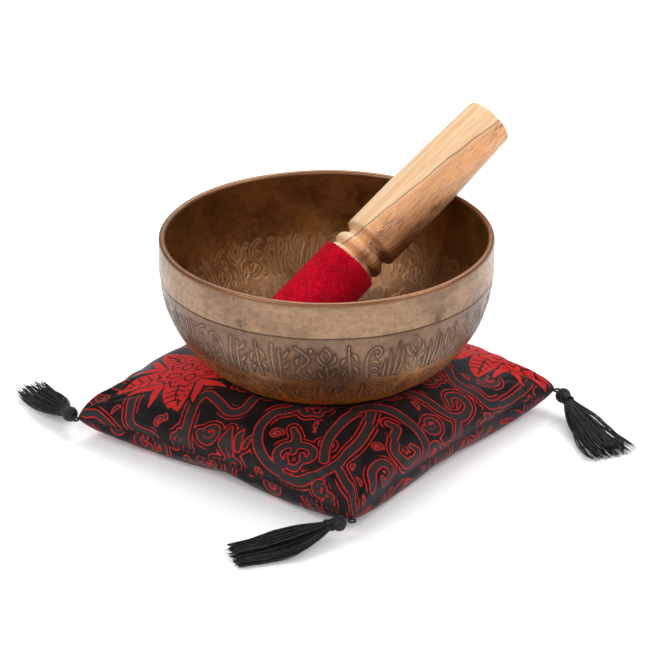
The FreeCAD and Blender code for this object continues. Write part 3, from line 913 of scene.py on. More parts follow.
@dataclass
class Mallet:
    """The turned mallet with its suede sleeve, leaning in the bowl."""

    body: str = "mallet"
    sleeve_edge: tuple[float, float, float] = (10.5, 11.3, 77.3)
    tilt: float = 31.9
    heading: float = 37.0
    sleeve_length: float = 64.0
    sleeve_radius: float = 14.65
    sleeve_thickness: float = 1.3
    seam_gap: float = 0.5
    top: float = 98.7
    shoulder: tuple[tuple[float, float], ...] = ((13.35, 0.0), (13.1, 0.9), (12.4, 2.1), (11.4, 2.8),
        (11.2, 3.0))
    collar: tuple[tuple[float, float], ...] = (
        (11.25, 3.3), (12.2, 4.1), (13.0, 4.8), (13.35, 5.4), (13.45, 6.4), (13.35, 7.5), (12.9, 8.4),
         (12.2, 9.2),
        (11.2, 10.1), (10.8, 10.5),
    )
    neck: tuple[tuple[float, float], ...] = ((10.6, 11.0), (10.6, 12.1), (11.0, 12.7), (12.2, 13.5),
        (13.4, 14.1))
    grip: tuple[tuple[float, float], ...] = (
        (13.85, 14.5), (14.0, 15.2), (14.02, 22.0), (14.0, 32.0), (13.9, 44.0), (13.65, 56.0), (13.3, 68.0),
        (12.9, 80.0), (12.5, 90.0), (12.3, 96.2), (12.2, 97.3), (11.9, 98.1), (11.3, 98.5), (10.5, 98.7),
    )

    def __post_init__(self) -> None:
        """Works out the turn that lays the mallet's own Z axis along its lean."""
        lean = Matrix.Rotation(math.radians(self.heading), 4, "Z") @ Matrix.Rotation(
            math.radians(90.0 - self.tilt), 4, "Y")
        self.turn = lean.to_euler("XYZ")
        self.origin = tuple(length * MM for length in self.sleeve_edge)
        self.place = Matrix.Translation(self.origin) @ lean

    def build(self) -> None:
        """Makes the handle and the sleeve."""
        self.handle()
        self.sleeve()

    def handle(self) -> None:
        """Turns the one-piece handle, core included."""
        core = self.sleeve_radius - self.sleeve_thickness - 0.02
        end = -self.sleeve_length
        profile = [(0.0, end), (core - 1.0, end), (core - 0.3, end + 0.3), (core, end + 1.0)]
        profile += [(core, end + 20.0), (core, -20.0)]
        profile += [*self.shoulder, *self.collar, *self.neck]
        for start, finish in zip(self.grip, self.grip[1:]):
            count = max(1, int((finish[1] - start[1]) / 2.0))
            profile += [
                (start[0] + (finish[0] - start[0]) * n / count, start[1] + (finish[1] - start[1]) * n / count)
                for n in range(count)
            ]
        profile += [self.grip[-1], (6.0, self.top), (0.0, self.top)]
        bm = spun(profile, 144)
        bmesh.ops.recalc_face_normals(bm, faces=bm.faces)
        for vert in bm.verts:
            along = vert.co.z / MM
            if along > 15.0:
                around = math.atan2(vert.co.y, vert.co.x)
                vert.co.xy *= 1.0 + 0.004 * math.sin(2 * around + along / 30.0)
        bmesh.ops.transform(bm, matrix=self.place, verts=bm.verts)
        piece = piece_from(bm, "mallet_wood_handle")
        dress(piece, TurnedWood("turned_wood", self.origin, self.turn).material(), self.body)
        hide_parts("mallet_handle")

    def sleeve(self) -> None:
        """Wraps the suede round the core and leaves its butt seam open underneath."""
        inner = self.sleeve_radius - self.sleeve_thickness
        outer = self.sleeve_radius
        end = -self.sleeve_length
        profile = [(inner, -0.05), (inner + 0.3, 0.0), (outer - 0.45, 0.0), (outer - 0.15, -0.15),
            (outer, -0.5)]
        count = 48
        profile += [(outer, -0.5 + (end + 1.0) * n / count) for n in range(1, count + 1)]
        profile += [(outer - 0.15, end + 0.15), (outer - 0.45, end), (inner, end), (inner, -0.05)]
        gap = math.degrees(self.seam_gap / outer)
        bm = spun(profile, 150, 360.0 - gap)
        bmesh.ops.holes_fill(bm, edges=[edge for edge in bm.edges if edge.is_boundary])
        bmesh.ops.rotate(bm, matrix=Matrix.Rotation(math.radians(gap / 2), 3, "Z"), verts=bm.verts)
        bmesh.ops.recalc_face_normals(bm, faces=bm.faces)
        draw = random.Random(8)
        for vert in bm.verts:
            far = math.hypot(vert.co.x, vert.co.y) / MM
            if far > outer - 0.3 and -0.4 > vert.co.z / MM > end + 0.4:
                vert.co.xy *= 1.0 - draw.random() * 0.009
            elif vert.co.z / MM > -0.3:
                around = math.atan2(vert.co.y, vert.co.x)
                vert.co.z += MM * (0.22 * math.sin(3 * around) + 0.12 * math.sin(11 * around))
        bmesh.ops.transform(bm, matrix=self.place, verts=bm.verts)
        piece = piece_from(bm, "mallet_suede_sleeve")
        dress(piece, Suede().material(), self.body)
        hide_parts("mallet_sleeve")


# The cushion ----------------------------------------------------------------------------


def curled(at: tuple[float, float], size: float, start: float, turns: float,
        half: float) -> list[tuple[float, float, float]]:
    """Draws a curl that winds in towards its middle.

    Args:
        at: the curl's middle.
        size: its outer radius.
        start: the angle of its outer end in degrees.
        turns: how many turns it makes, negative for clockwise.
        half: the stroke's half width at the outer end.

    Returns:
        The curl's points.
    """
    points = []
    count = max(6, int(abs(turns) * 9))
    for number in range(count + 1):
        share = number / count
        angle = math.radians(start) + math.tau * turns * share
        radius = size * (1.0 - 0.80 * share)
        points.append((at[0] + radius * math.cos(angle), at[1] + radius * math.sin(angle),
            half * (1.0 - 0.30 * share)))
    return points


@dataclass(frozen=True)
class Placed:
    """Where a woven figure lies on the cloth, with its heading in degrees and its size."""

    x: float
    y: float
    heading: float
    size: float = 1.0

    def put(self, points: Triples) -> list[tuple[float, float, float]]:
        """Moves a figure's points to its place."""
        c, s = math.cos(math.radians(self.heading)), math.sin(math.radians(self.heading))
        return [
            (self.x + self.size * (c * x - s * y), self.y + self.size * (s * x + c * y),
            half * (0.4 + 0.6 * self.size))
            for x, y, half in points
        ]


class Weave:
    """The brocade's woven figures, drawn on the flat cloth with X to the right corner and Y to the back."""

    CLOUD_HEAD = (
        ((0.0, -9.0, 1.5), (-0.8, -4.0, 1.9), (0.0, 0.5, 2.4), (0.6, 4.0, 1.8)),
        ((0.0, 0.5, 2.2), (-5.0, 1.2, 2.0), (-8.4, 4.6, 2.0), (-7.4, 9.0, 2.0), (-3.8, 9.4, 1.6),
         (-3.6, 6.4, 1.3)),
        ((0.0, 0.5, 2.2), (5.0, 0.8, 2.0), (8.8, 3.8, 2.0), (8.2, 8.6, 2.0), (4.6, 9.4, 1.6),
         (4.2, 6.4, 1.3)),
        ((-3.0, 10.4, 1.2), (0.2, 12.6, 1.5), (3.6, 10.8, 1.2)),
    )
    FLAMES = (
        ((-6.0, -5.0, 1.4), (-6.6, 0.0, 1.8), (-4.8, 4.0, 0.7)),
        ((-2.6, -5.0, 1.6), (-2.8, 2.4, 2.2), (-0.6, 8.0, 0.7)),
        ((1.8, -5.0, 1.6), (2.6, 1.0, 2.0), (5.0, 5.2, 0.7)),
        ((5.6, -5.0, 1.4), (7.4, -1.4, 1.5), (10.0, 0.8, 0.6)),
    )
    UNDER = (
        ((-17.0, -46.0, 1.8), (-20.0, -52.0, 2.2), (-29.0, -52.5, 2.15), (-37.0, -59.0, 2.35),
         (-39.0, -72.0, 2.35),
         (-34.0, -85.0, 2.35), (-21.0, -94.0, 2.35), (-6.0, -91.0, 2.35), (5.0, -81.0, 2.35),
         (13.0, -70.0, 2.35),
         (18.5, -59.0, 2.35), (19.0, -48.0, 2.35), (14.0, -38.0, 2.2)),
        ((-80.0, -58.0, 2.0), (-74.0, -50.0, 2.15), (-68.0, -40.0, 2.15), (-63.0, -30.0, 2.15),
         (-57.5, -27.0, 2.15),
         (-53.5, -34.0, 2.2), (-49.0, -44.0, 2.2), (-42.0, -45.0, 2.2), (-35.0, -39.0, 2.2),
         (-27.0, -39.0, 2.2),
         (-18.0, -37.0, 2.15), (-10.0, -32.0, 2.0)),
        ((114.0, -4.0, 2.0), (104.0, -9.0, 2.15), (96.0, -20.0, 2.2), (88.0, -31.0, 2.2), (80.0, -36.0, 2.2),
         (72.0, -32.0, 2.2), (63.0, -26.0, 2.2), (60.0, -16.0, 2.2), (55.0, -8.0, 2.15), (44.0, -6.0, 2.0)),
        ((34.0, -38.0, 1.8), (40.0, -42.0, 2.2), (48.0, -46.0, 2.15), (57.0, -51.0, 2.15), (65.0, -49.0, 2.2),
         (68.5, -42.0, 2.0), (64.0, -36.5, 1.9), (58.5, -38.5, 1.7), (59.5, -43.5, 1.3)),
        ((68.0, -64.0, 2.0), (64.0, -58.0, 2.2), (62.0, -50.0, 2.0)),
        ((6.0, -120.0, 1.8), (2.0, -110.0, 2.2), (-1.0, -101.0, 2.2), (-3.0, -93.0, 2.0)),
        ((-96.0, 34.0, 2.0), (-99.0, 22.0, 2.15), (-98.0, 10.0, 2.2), (-91.0, 3.0, 2.2), (-87.0, -6.0, 2.2),
         (-91.0, -16.0, 2.15), (-94.0, -26.0, 2.2), (-88.0, -36.0, 2.0), (-90.0, -44.0, 1.6)),
        ((-118.0, 4.0, 1.6), (-112.0, -6.0, 1.9), (-106.0, -14.0, 1.8), (-104.0, -22.0, 1.4)),
        ((14.0, -103.0, 1.8), (13.0, -94.0, 2.0), (18.0, -88.0, 2.0), (24.0, -91.0, 1.9), (22.0, -97.0, 1.6),
         (18.5, -95.5, 1.1)),
        ((26.0, -64.0, 1.5), (30.0, -67.0, 2.0), (27.5, -73.0, 2.2), (26.0, -80.0, 2.2), (31.0, -84.0, 2.2),
         (38.0, -83.0, 2.0), (40.5, -78.0, 1.7), (36.0, -76.5, 1.3)),
        ((-90.0, 60.0, 2.0), (-78.0, 52.0, 2.15), (-66.0, 54.0, 2.2), (-56.0, 46.0, 2.2), (-46.0, 48.0, 2.2),
         (-38.0, 58.0, 2.2), (-26.0, 58.0, 2.15), (-18.0, 50.0, 2.0)),
        ((90.0, 56.0, 2.0), (80.0, 62.0, 2.15), (70.0, 56.0, 2.2), (60.0, 58.0, 2.2), (52.0, 66.0, 2.2),
         (42.0, 60.0, 2.15), (36.0, 50.0, 2.0)),
    )
    OVER = (
        ((-9.0, -86.0, 2.15), (-6.5, -76.0, 2.35), (-0.5, -66.0, 2.35), (9.0, -58.0, 2.35),
         (20.0, -54.5, 2.35),
         (31.5, -58.0, 2.35), (41.0, -67.0, 2.35), (46.5, -78.0, 2.35), (45.0, -90.0, 2.2),
         (37.0, -98.0, 2.2)),
        ((-64.0, 40.0, 2.0), (-54.0, 34.0, 2.2), (-44.0, 36.0, 2.2), (-36.0, 44.0, 2.2), (-36.0, 58.0, 2.15),
         (-44.0, 68.0, 2.0)),
    )
    FLOWERS = (
        Placed(-62.0, 0.0, -115.0, 1.0), Placed(88.0, 13.0, -122.0, 1.0), Placed(8.0, 76.0, 20.0, 0.95),
        Placed(12.0, 6.0, 65.0, 0.9),
    )
    CLOUD_HEADS = (
        Placed(-22.0, -74.0, 178.0, 1.05), Placed(-10.0, -49.0, 190.0, 0.75),
        Placed(-28.0, 26.0, 30.0, 1.0), Placed(46.0, 36.0, -25.0, 1.05), Placed(-26.0, 82.0, 60.0, 0.9),
        Placed(38.0, -22.0, 95.0, 0.8), Placed(-22.0, -14.0, 200.0, 0.8), Placed(50.0, 88.0, 250.0, 0.9),
        Placed(58.0, -72.0, 140.0, 0.8), Placed(-62.0, -70.0, 215.0, 0.75), Placed(-6.0, 112.0, 0.0, 0.7),
    )
    FLAME_TUFTS = (
        Placed(-50.0, -62.0, -8.0, 0.95), Placed(84.0, -46.0, 140.0, 0.7), Placed(-14.0, -109.0, 60.0, 0.6),
        Placed(-66.0, 74.0, 200.0, 0.9), Placed(70.0, 84.0, 150.0, 0.8), Placed(-104.0, 46.0, 100.0, 0.6),
        Placed(36.0, -108.0, 150.0, 0.7), Placed(106.0, -22.0, 120.0, 0.5),
    )
    CURLS = (
        ((-60.0, -52.0), 5.4, 150.0, 1.4, 1.8), ((-14.0, -101.5), 4.2, 60.0, 1.4, 1.5),
        ((-78.0, -46.0), 4.4, 30.0, -1.4, 1.5), ((48.0, -60.0), 4.6, 220.0, 1.4, 1.6),
        ((79.0, -19.0), 5.0, 90.0, -1.3, 1.6), ((-6.0, -76.0), 3.4, 150.0, 1.1, 1.2),
        ((50.0, -29.0), 5.2, 20.0, 1.3, 1.7), ((30.0, -44.0), 3.6, 200.0, -1.2, 1.3),
    )
    REACH = 124.0

    @staticmethod
    def flower(place: Placed) -> tuple[list[np.ndarray], list[np.ndarray]]:
        """Draws a flower's filled leaves and petals, and the lines of its veins."""

        def polar(*points: tuple[float, float, float]) -> list[tuple[float, float, float]]:
            """Places points given by distance, angle in degrees and half width."""
            return [(r * math.cos(math.radians(a)), r * math.sin(math.radians(a)), half)
                for r, a, half in points]

        filled, veins = [polar((1.0, 0.0, 11.0), (1.0, 120.0, 11.4), (1.0, 240.0, 11.0))], []
        for number in range(4):
            way = 90.0 * number + 25.0
            veins.append(polar((4.0, way, 0.9), (6.0, way, 2.5), (8.2, way, 1.6)))
            veins.append(polar((5.6, way, 0.05), (6.8, way, 0.35)))
            veins.append(polar((9.0, way + 22.0, 0.02), (11.6, way + 35.0, 0.02), (9.2, way + 49.0, 0.02)))
        for number in range(5):
            way = 72.0 * number
            filled.append(polar((7.0, way, 6.6), (15.0, way, 6.4), (23.0, way + 3, 5.2),
                (30.0, way + 6, 2.6), (34.0, way + 8, 0.4)))
            veins.append(polar((13.0, way, 0.02), (20.0, way + 2, 0.02), (31.0, way + 7, 0.02)))
            veins.append(polar((12.0, way - 26, 0.02), (14.4, way - 13, 0.02), (12.6, way, 0.02),
                (14.4, way + 13, 0.02),
                               (12.0, way + 26, 0.02)))
            for far, wide in ((16.5, 15.0), (20.5, 11.0), (24.5, 7.0)):
                for side in (-1.0, 1.0):
                    veins.append(polar((far, way + 2, 0.02), (far + 3.2, way + 2 + side * wide, 0.02)))
            for side in (-1.0, 1.0):
                filled.append(polar((14.5, way + side * 33, 0.8), (19.5, way + side * 29, 1.9),
                    (25.0, way + side * 22, 1.3),
                                    (30.0, way + side * 20, 0.3)))
        return tuple([smooth_path(place.put(points), 0.5) for points in group] for group in (filled, veins))

    def fillers(self, strokes: list[np.ndarray], flowers: list[np.ndarray]) -> list[np.ndarray]:
        """Draws small curls and leaves wherever the figures leave the satin empty."""
        draw = random.Random(21)
        spots = [
            (x + draw.uniform(-2.0, 2.0), y + draw.uniform(-2.0, 2.0))
            for x in np.arange(-self.REACH, self.REACH, 5.0) for y in np.arange(-self.REACH, self.REACH, 5.0)
            if abs(x) + abs(y) < self.REACH
        ]
        room = stroke_field(np.array(spots), strokes + flowers, 9.0)
        added, taken = [], []
        for share in np.argsort(-room):
            x, y = spots[share]
            size = room[share] - 2.6
            if size < 2.2 or any(math.hypot(x - a, y - b) < size + other + 2.4 for a, b, other in taken):
                continue
            taken.append((x, y, size))
            start, sense = draw.uniform(0.0, 360.0), draw.choice((-1.0, 1.0))
            if size > 3.2:
                added.append(smooth_path(curled((x, y), size * 0.80, start, 1.35 * sense, size * 0.25), 0.5))
            else:
                leaf = Placed(x, y, start, size / 3.0)
                added.append(smooth_path(leaf.put(((-2.8, 0.0, 0.5), (0.0, 0.8 * sense, 1.2),
                    (2.8, 0.0, 0.4))), 0.5))
        return added

    def fields(self, cloth: np.ndarray) -> dict[str, np.ndarray]:
        """Measures the cloth's distances to the edges of the woven figures.

        Args:
            cloth: flat positions on the cloth.

        Returns:
            The distances to the figures beneath, those on top, the flowers and their veins.
        """
        under = [smooth_path(points, 0.8) for points in self.UNDER]
        under += [smooth_path(curled(*values), 0.6) for values in self.CURLS]
        for figure, places in ((self.CLOUD_HEAD, self.CLOUD_HEADS), (self.FLAMES, self.FLAME_TUFTS)):
            for place in places:
                under += [smooth_path(place.put(points), 0.6) for points in figure]
        filled, veins = [], []
        for place in self.FLOWERS:
            leaves, inner = self.flower(place)
            filled += leaves
            veins += inner
        over = [smooth_path(points, 0.8) for points in self.OVER]
        small = self.fillers(under + over, filled)
        layers = {"under": under, "over": over + small, "bloom": filled, "vein": veins}
        return {name: stroke_field(cloth, strokes, 3.2) for name, strokes in layers.items()}


@dataclass
class Cushion:
    """The stuffed brocade cushion that the bowl presses into."""

    body: str = "cushion"
    half_side: float = 79.6
    centre: tuple[float, float] = (-3.9, -0.8)
    heading: float = 7.6
    seam: float = 10.0
    crown: float = 19.5
    cells: int = 64
    most_travel: float = 3.2
    side_arc: float = 56.0
    bowl_gap: float = 0.7
    bulge: float = 3.2
    stitch_count: int = 16
    stitch_pitch: float = 5.2
    stuffing_gap: float = 0.9
    stuffing_shrink: tuple[float, float, float] = (0.93, 0.93, 0.80)
    crease_reach: float = 2.6
    settle_frames: int = 20
    straight_band: float = 15.5
    crown_start: float = 20.0
    crown_end: float = 36.0
    crown_radius: float = 150.0
    bulge_at: float = 54.0
    bulge_width: float = 9.0

    def place(self) -> Matrix:
        """Returns the matrix that lays the square's axes on the table, in metres."""
        shift = Matrix.Translation((self.centre[0] * MM, self.centre[1] * MM, 0.0))
        return shift @ Matrix.Rotation(math.radians(self.heading - 45.0), 4, "Z")

    def rise(self, p: np.ndarray, q: np.ndarray) -> np.ndarray:
        """Gives the upper panel's height over the seam, for places from -1 to 1 each way."""
        swell = (1 - np.abs(p) ** 4.2) * (1 - np.abs(q) ** 4.2)
        return self.crown * np.clip(swell, 0.0, 1.0) ** 0.46

    def shell(self) -> bpy.types.Object:
        """Sews two square panels together and fills them out."""
        bm = bmesh.new()
        flat = bm.verts.layers.float_vector.new("cloth")
        face_up = bm.verts.layers.float.new("panel")
        for side in (1.0, -1.0):
            made = bmesh.ops.create_grid(bm, x_segments=self.cells, y_segments=self.cells, size=1.0)["verts"]
            for vert in made:
                p, q = vert.co.x, vert.co.y
                rim = max(abs(p), abs(q)) > 0.9999
                vert[flat] = Vector((p, q, 0.0)) * self.half_side
                vert[face_up] = 0.0 if rim else side
                pull = 1.0 - 0.022 * (1 - q * q) * abs(p) ** 3
                pull_q = 1.0 - 0.022 * (1 - p * p) * abs(q) ** 3
                if side > 0:
                    height = float(self.rise(p, q))
                else:
                    swell = max(0.0, (1 - abs(p) ** 9) * (1 - abs(q) ** 9))
                    height = -(self.seam - 0.7) * swell ** 0.6
                vert.co = Vector((p * pull * self.half_side, q * pull_q * self.half_side,
                    self.seam + height)) * MM
            if side < 0:
                faces = {face for vert in made for face in vert.link_faces}
                bmesh.ops.reverse_faces(bm, faces=list(faces))
        rim = [vert for vert in bm.verts if vert[face_up] == 0.0]
        bmesh.ops.remove_doubles(bm, verts=rim, dist=1e-6)
        bmesh.ops.transform(bm, matrix=self.place(), verts=bm.verts)
        return piece_from(bm, "cushion_cover")

    def puff(self, piece: bpy.types.Object) -> None:
        """Lets the cloth settle under the stuffing's pressure, and caps how far it moves."""
        before = positions(piece.data)
        cloth = piece.modifiers.new("stuffing", "CLOTH")
        cloth.settings.quality = 6
        cloth.settings.mass = 0.2
        cloth.settings.tension_stiffness = 22.0
        cloth.settings.compression_stiffness = 22.0
        cloth.settings.bending_stiffness = 0.35
        cloth.settings.shrink_min = -0.045
        cloth.settings.use_pressure = True
        cloth.settings.uniform_pressure_force = 3.0
        cloth.settings.effector_weights.gravity = 0.0
        cloth.collision_settings.use_self_collision = False
        for frame in range(1, self.settle_frames + 1):
            bpy.context.scene.frame_set(frame)
        settled = bpy.data.meshes.new_from_object(piece.evaluated_get(bpy.context.evaluated_depsgraph_get()))
        piece.modifiers.clear()
        after = positions(settled)
        bpy.data.meshes.remove(settled)
        bpy.context.scene.frame_set(1)
        move = after - before
        length = np.linalg.norm(move, axis=1, keepdims=True) + 1e-9
        move *= np.minimum(1.0, self.most_travel / length)
        set_positions(piece.data, before + move)

    def under_bowl(self, points: np.ndarray) -> np.ndarray:
        """Pushes cloth positions clear of the bowl and the table, with a bulge round the bowl."""
        low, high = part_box("bowl")
        radius = (high[0] - low[0]) / 2 / MM
        foot = low[2] / MM
        from_axis = np.hypot(points[:, 0], points[:, 1])
        upper = points[:, 2] > self.seam + 6.0
        swell = self.bulge * np.exp(-((from_axis - self.bulge_at) / self.bulge_width) ** 2)
        points[:, 2] += np.where(upper, swell, 0.0)
        side = radius - self.side_arc
        beyond = np.clip(from_axis - side, 0.0, self.side_arc - 0.5)
        wall = high[2] / MM - self.straight_band - np.sqrt(self.side_arc ** 2 - beyond ** 2)
        crown = foot + np.clip(from_axis - self.crown_start, 0.0, 100.0) ** 2 / (2 * self.crown_radius)
        ceiling = np.maximum(np.where(from_axis < self.crown_end, crown, wall), foot) - self.bowl_gap
        covered = from_axis < radius - 4.0
        points[:, 2] = np.where(covered & upper, np.minimum(points[:, 2], ceiling), points[:, 2])
        points[:, 2] = np.maximum(points[:, 2], 0.35)
        return points

    def pucker(self, points: np.ndarray, cloth: np.ndarray, panel: np.ndarray) -> np.ndarray:
        """Adds the small folds that gather at the seam and run out from the corners."""
        p, q = cloth[:, 0] / self.half_side, cloth[:, 1] / self.half_side
        edge = np.minimum(1 - np.abs(p), 1 - np.abs(q)) * self.half_side
        along = np.where(np.abs(p) > np.abs(q), cloth[:, 1], cloth[:, 0])
        fold = np.sin(along / 2.5 + 1.7 * np.sin(along / 8.1)) * np.exp(-((edge - 5.0) / 4.2) ** 2) * 0.38
        broad = np.sin(along / 5.7 + 2.0 * np.sin(along / 13.0) + 1.0)
        fold += broad * np.exp(-((edge - 9.0) / 7.0) ** 2) * 0.55
        corner = np.hypot(1 - np.abs(p), 1 - np.abs(q)) * self.half_side
        spoke = np.arctan2(1 - np.abs(q), 1 - np.abs(p))
        wave = np.sin(9.0 * spoke + 1.3 * np.sign(p) + 0.7 * np.sign(q))
        fold += wave * np.clip(corner / 14.0, 0.0, 1.0) * np.exp(-(corner / 26.0) ** 2) * 1.7
        near = np.clip((corner - 5.0) / 9.0, 0.0, 1.0) * np.exp(-(corner / 34.0) ** 4)
        for place, width, depth in ((0.42, 0.055, 1.1), (0.86, 0.075, 2.0), (1.22, 0.05, 0.9)):
            bend = place + 0.10 * np.sign(p) * np.sign(q) + 0.05 * np.sin(corner / 7.0)
            fold -= depth * near * np.exp(-((spoke - bend) / width) ** 2)
            fold += 0.45 * depth * near * np.exp(-((spoke - bend - 2.2 * width) / width) ** 2)
        sag = 0.55 * np.sin(p * 5.3 + 1.1 * np.sin(q * 4.0)) * np.sin(q * 4.7 + 0.6)
        sag = sag * np.clip(edge / 20.0, 0.0, 1.0)
        crease = -1.1 * np.exp(-(edge / 1.3) ** 2)
        away = np.where(panel > 0, 1.0, -0.5)
        points[:, 2] += away * (fold * np.where(panel > 0, 1.0, 0.5) + np.where(panel > 0, sag, 0.0))
        middle = np.array([self.centre[0], self.centre[1]])
        inwards = middle - points[:, :2]
        inwards /= np.linalg.norm(inwards, axis=1, keepdims=True) + 1e-9
        points[:, :2] -= inwards * crease[:, None]
        return points

    def unrolled(self, points: np.ndarray, cloth: np.ndarray, panel: np.ndarray) -> np.ndarray:
        """Measures flat cloth coordinates along the filled panels from their middle lines.

        Args:
            points: the cover's positions.
            cloth: each position's place on the square that it was made from.
            panel: 1 on the upper panel, -1 on the lower and 0 on the seam.

        Returns:
            The flat coordinates, one row of three each.
        """
        half = self.cells * 2
        cell = np.rint((cloth[:, :2] / self.half_side + 1.0) * half).astype(int)
        flat = np.zeros_like(cloth)
        for side in (-1.0, 1.0):
            chosen = np.flatnonzero((panel * side > 0) | (np.abs(panel) < 1e-3))
            grid = np.zeros((2 * half + 1, 2 * half + 1, 3))
            grid[cell[chosen, 0], cell[chosen, 1]] = points[chosen]
            for axis in (0, 1):
                steps = np.linalg.norm(np.diff(grid, axis=axis), axis=2)
                steps = np.moveaxis(steps, axis, 0)
                reach = np.vstack([np.zeros((1, steps.shape[1])), np.cumsum(steps, axis=0)])
                reach = np.moveaxis(reach - reach[half], 0, axis)
                flat[chosen, axis] = reach[cell[chosen, 0], cell[chosen, 1]]
        return flat

    def build(self) -> None:
        """Makes the cover, the stuffing inside it and the closing stitches."""
        piece = self.shell()
        self.puff(piece)
        stuffing = piece.copy()
        stuffing.data = piece.data.copy()
        stuffing.name = stuffing.data.name = "cotton_stuffing"
        bpy.context.collection.objects.link(stuffing)
        finer = piece.modifiers.new("finer", "SUBSURF")
        finer.levels = finer.render_levels = 2
        dense = bpy.data.meshes.new_from_object(piece.evaluated_get(bpy.context.evaluated_depsgraph_get()))
        piece.modifiers.clear()
        piece.data = dense
        dense.name = "cushion_cover"
        cloth = np.empty(len(dense.vertices) * 3, dtype=np.float32)
        dense.attributes["cloth"].data.foreach_get("vector", cloth)
        cloth = cloth.reshape(-1, 3).astype(float)
        panel = np.empty(len(dense.vertices), dtype=np.float32)
        dense.attributes["panel"].data.foreach_get("value", panel)
        seam = np.minimum(self.half_side - np.abs(cloth[:, 0]), self.half_side - np.abs(cloth[:, 1]))
        points = self.under_bowl(self.pucker(positions(dense), cloth, panel))
        set_positions(dense, points)
        cloth = self.unrolled(points, cloth, panel)
        dense.attributes["cloth"].data.foreach_set("vector", cloth.astype(np.float32).ravel())
        diagonal = np.column_stack([cloth[:, 0] + cloth[:, 1], cloth[:, 1] - cloth[:, 0]]) / math.sqrt(2)
        turned = np.column_stack([-diagonal[:, 1], diagonal[:, 0]]) * -1.0
        drawn = np.where((panel < 0)[:, None], turned, diagonal)
        for name, values in Weave().fields(drawn).items():
            store(dense, name, values)
        store(dense, "seam", seam)
        dress(piece, Brocade().material(), self.body)
        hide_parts("cushion_cover_top", "cushion_cover_bottom")
        self.stuff(stuffing, piece)
        self.close(piece)

    def held_inside(self, points: np.ndarray, cover: bpy.types.Object) -> np.ndarray:
        """Holds the stuffing clear of the finished cloth, creases and folds included.

        Args:
            points: the stuffing's positions.
            cover: the finished cover.

        Returns:
            The positions between the lowest cloth close above each one and the highest close below.
        """
        tree = BVHTree.FromPolygons(
            [vert.co.copy() for vert in cover.data.vertices],
            [tuple(face.vertices) for face in cover.data.polygons],
        )
        spots = [(0.0, 0.0)] + [(self.crease_reach * math.cos(a), self.crease_reach * math.sin(a))
                                for a in (math.tau * k / 8 for k in range(8))]
        spots += [(0.5 * x, 0.5 * y) for x, y in spots[1:]]
        for point in points:
            roof, floor = self.seam * 4.0, 0.0
            for x, y in spots:
                place = (point[0] + x) * MM, (point[1] + y) * MM
                above = tree.ray_cast(Vector((*place, 0.1)), Vector((0.0, 0.0, -1.0)))[0]
                below = tree.ray_cast(Vector((*place, -0.05)), Vector((0.0, 0.0, 1.0)))[0]
                if above is not None and below is not None:
                    roof, floor = min(roof, above.z / MM), max(floor, below.z / MM)
            highest, lowest = roof - self.stuffing_gap, floor + self.stuffing_gap
            point[2] = min(max(point[2], lowest), highest) if highest > lowest else (roof + floor) / 2
        return points

    def stuff(self, stuffing: bpy.types.Object, cover: bpy.types.Object) -> None:
        """Shrinks a copy of the cover into the stuffing that lies inside it."""
        points = positions(stuffing.data)
        middle = np.array([self.centre[0], self.centre[1], self.seam + 4.0])
        points = middle + (points - middle) * np.array(self.stuffing_shrink)
        points = self.under_bowl(points)
        from_axis = np.hypot(points[:, 0], points[:, 1])
        points[:, 2] -= np.where(from_axis < 60.0, np.where(points[:, 2] > self.seam, 2.0, 0.0), 0.0)
        points[:, 2] = np.maximum(points[:, 2], 1.5)
        points = self.held_inside(points, cover)
        set_positions(stuffing.data, points)
        cotton = PlainThread("cotton", (0.62, 0.58, 0.50), (0.72, 0.69, 0.62), 0.8)
        dress(stuffing, cotton.material(), self.body)
        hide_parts("cushion_filling")

    def close(self, cover: bpy.types.Object) -> None:
        """Sews the slip stitches over the seam of the back-left side."""
        points = positions(cover.data)
        turn = np.array(self.place().inverted().to_3x3())
        own = (points - np.array([*self.centre, 0.0])) @ turn.T
        bars = []
        for number in range(self.stitch_count):
            along = (number - (self.stitch_count - 1) / 2) * self.stitch_pitch
            line = []
            for height in (-1.3, -0.6, 0.0, 0.6, 1.3):
                across = along + height * 0.45
                near = (own[:, 0] < 0) & (np.abs(own[:, 1] - across) < 1.2) & (np.abs(own[:, 2] - self.seam
                    - height) < 0.8)
                reach = own[near, 0].min() if near.any() else -self.half_side
                line.append((reach - 0.12, across, self.seam + height))
            bars.append(np.array(line) @ np.array(self.place().to_3x3()).T + np.array([*self.centre, 0.0]))
        piece = threads("slip_stitches", bars, 0.28, 1)
        dress(piece, PlainThread("black_thread", (0.012, 0.011, 0.011), (0.03, 0.03, 0.03)).material(),
              self.body)
        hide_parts("closing_stitches")


# The tassels ----------------------------------------------------------------------------


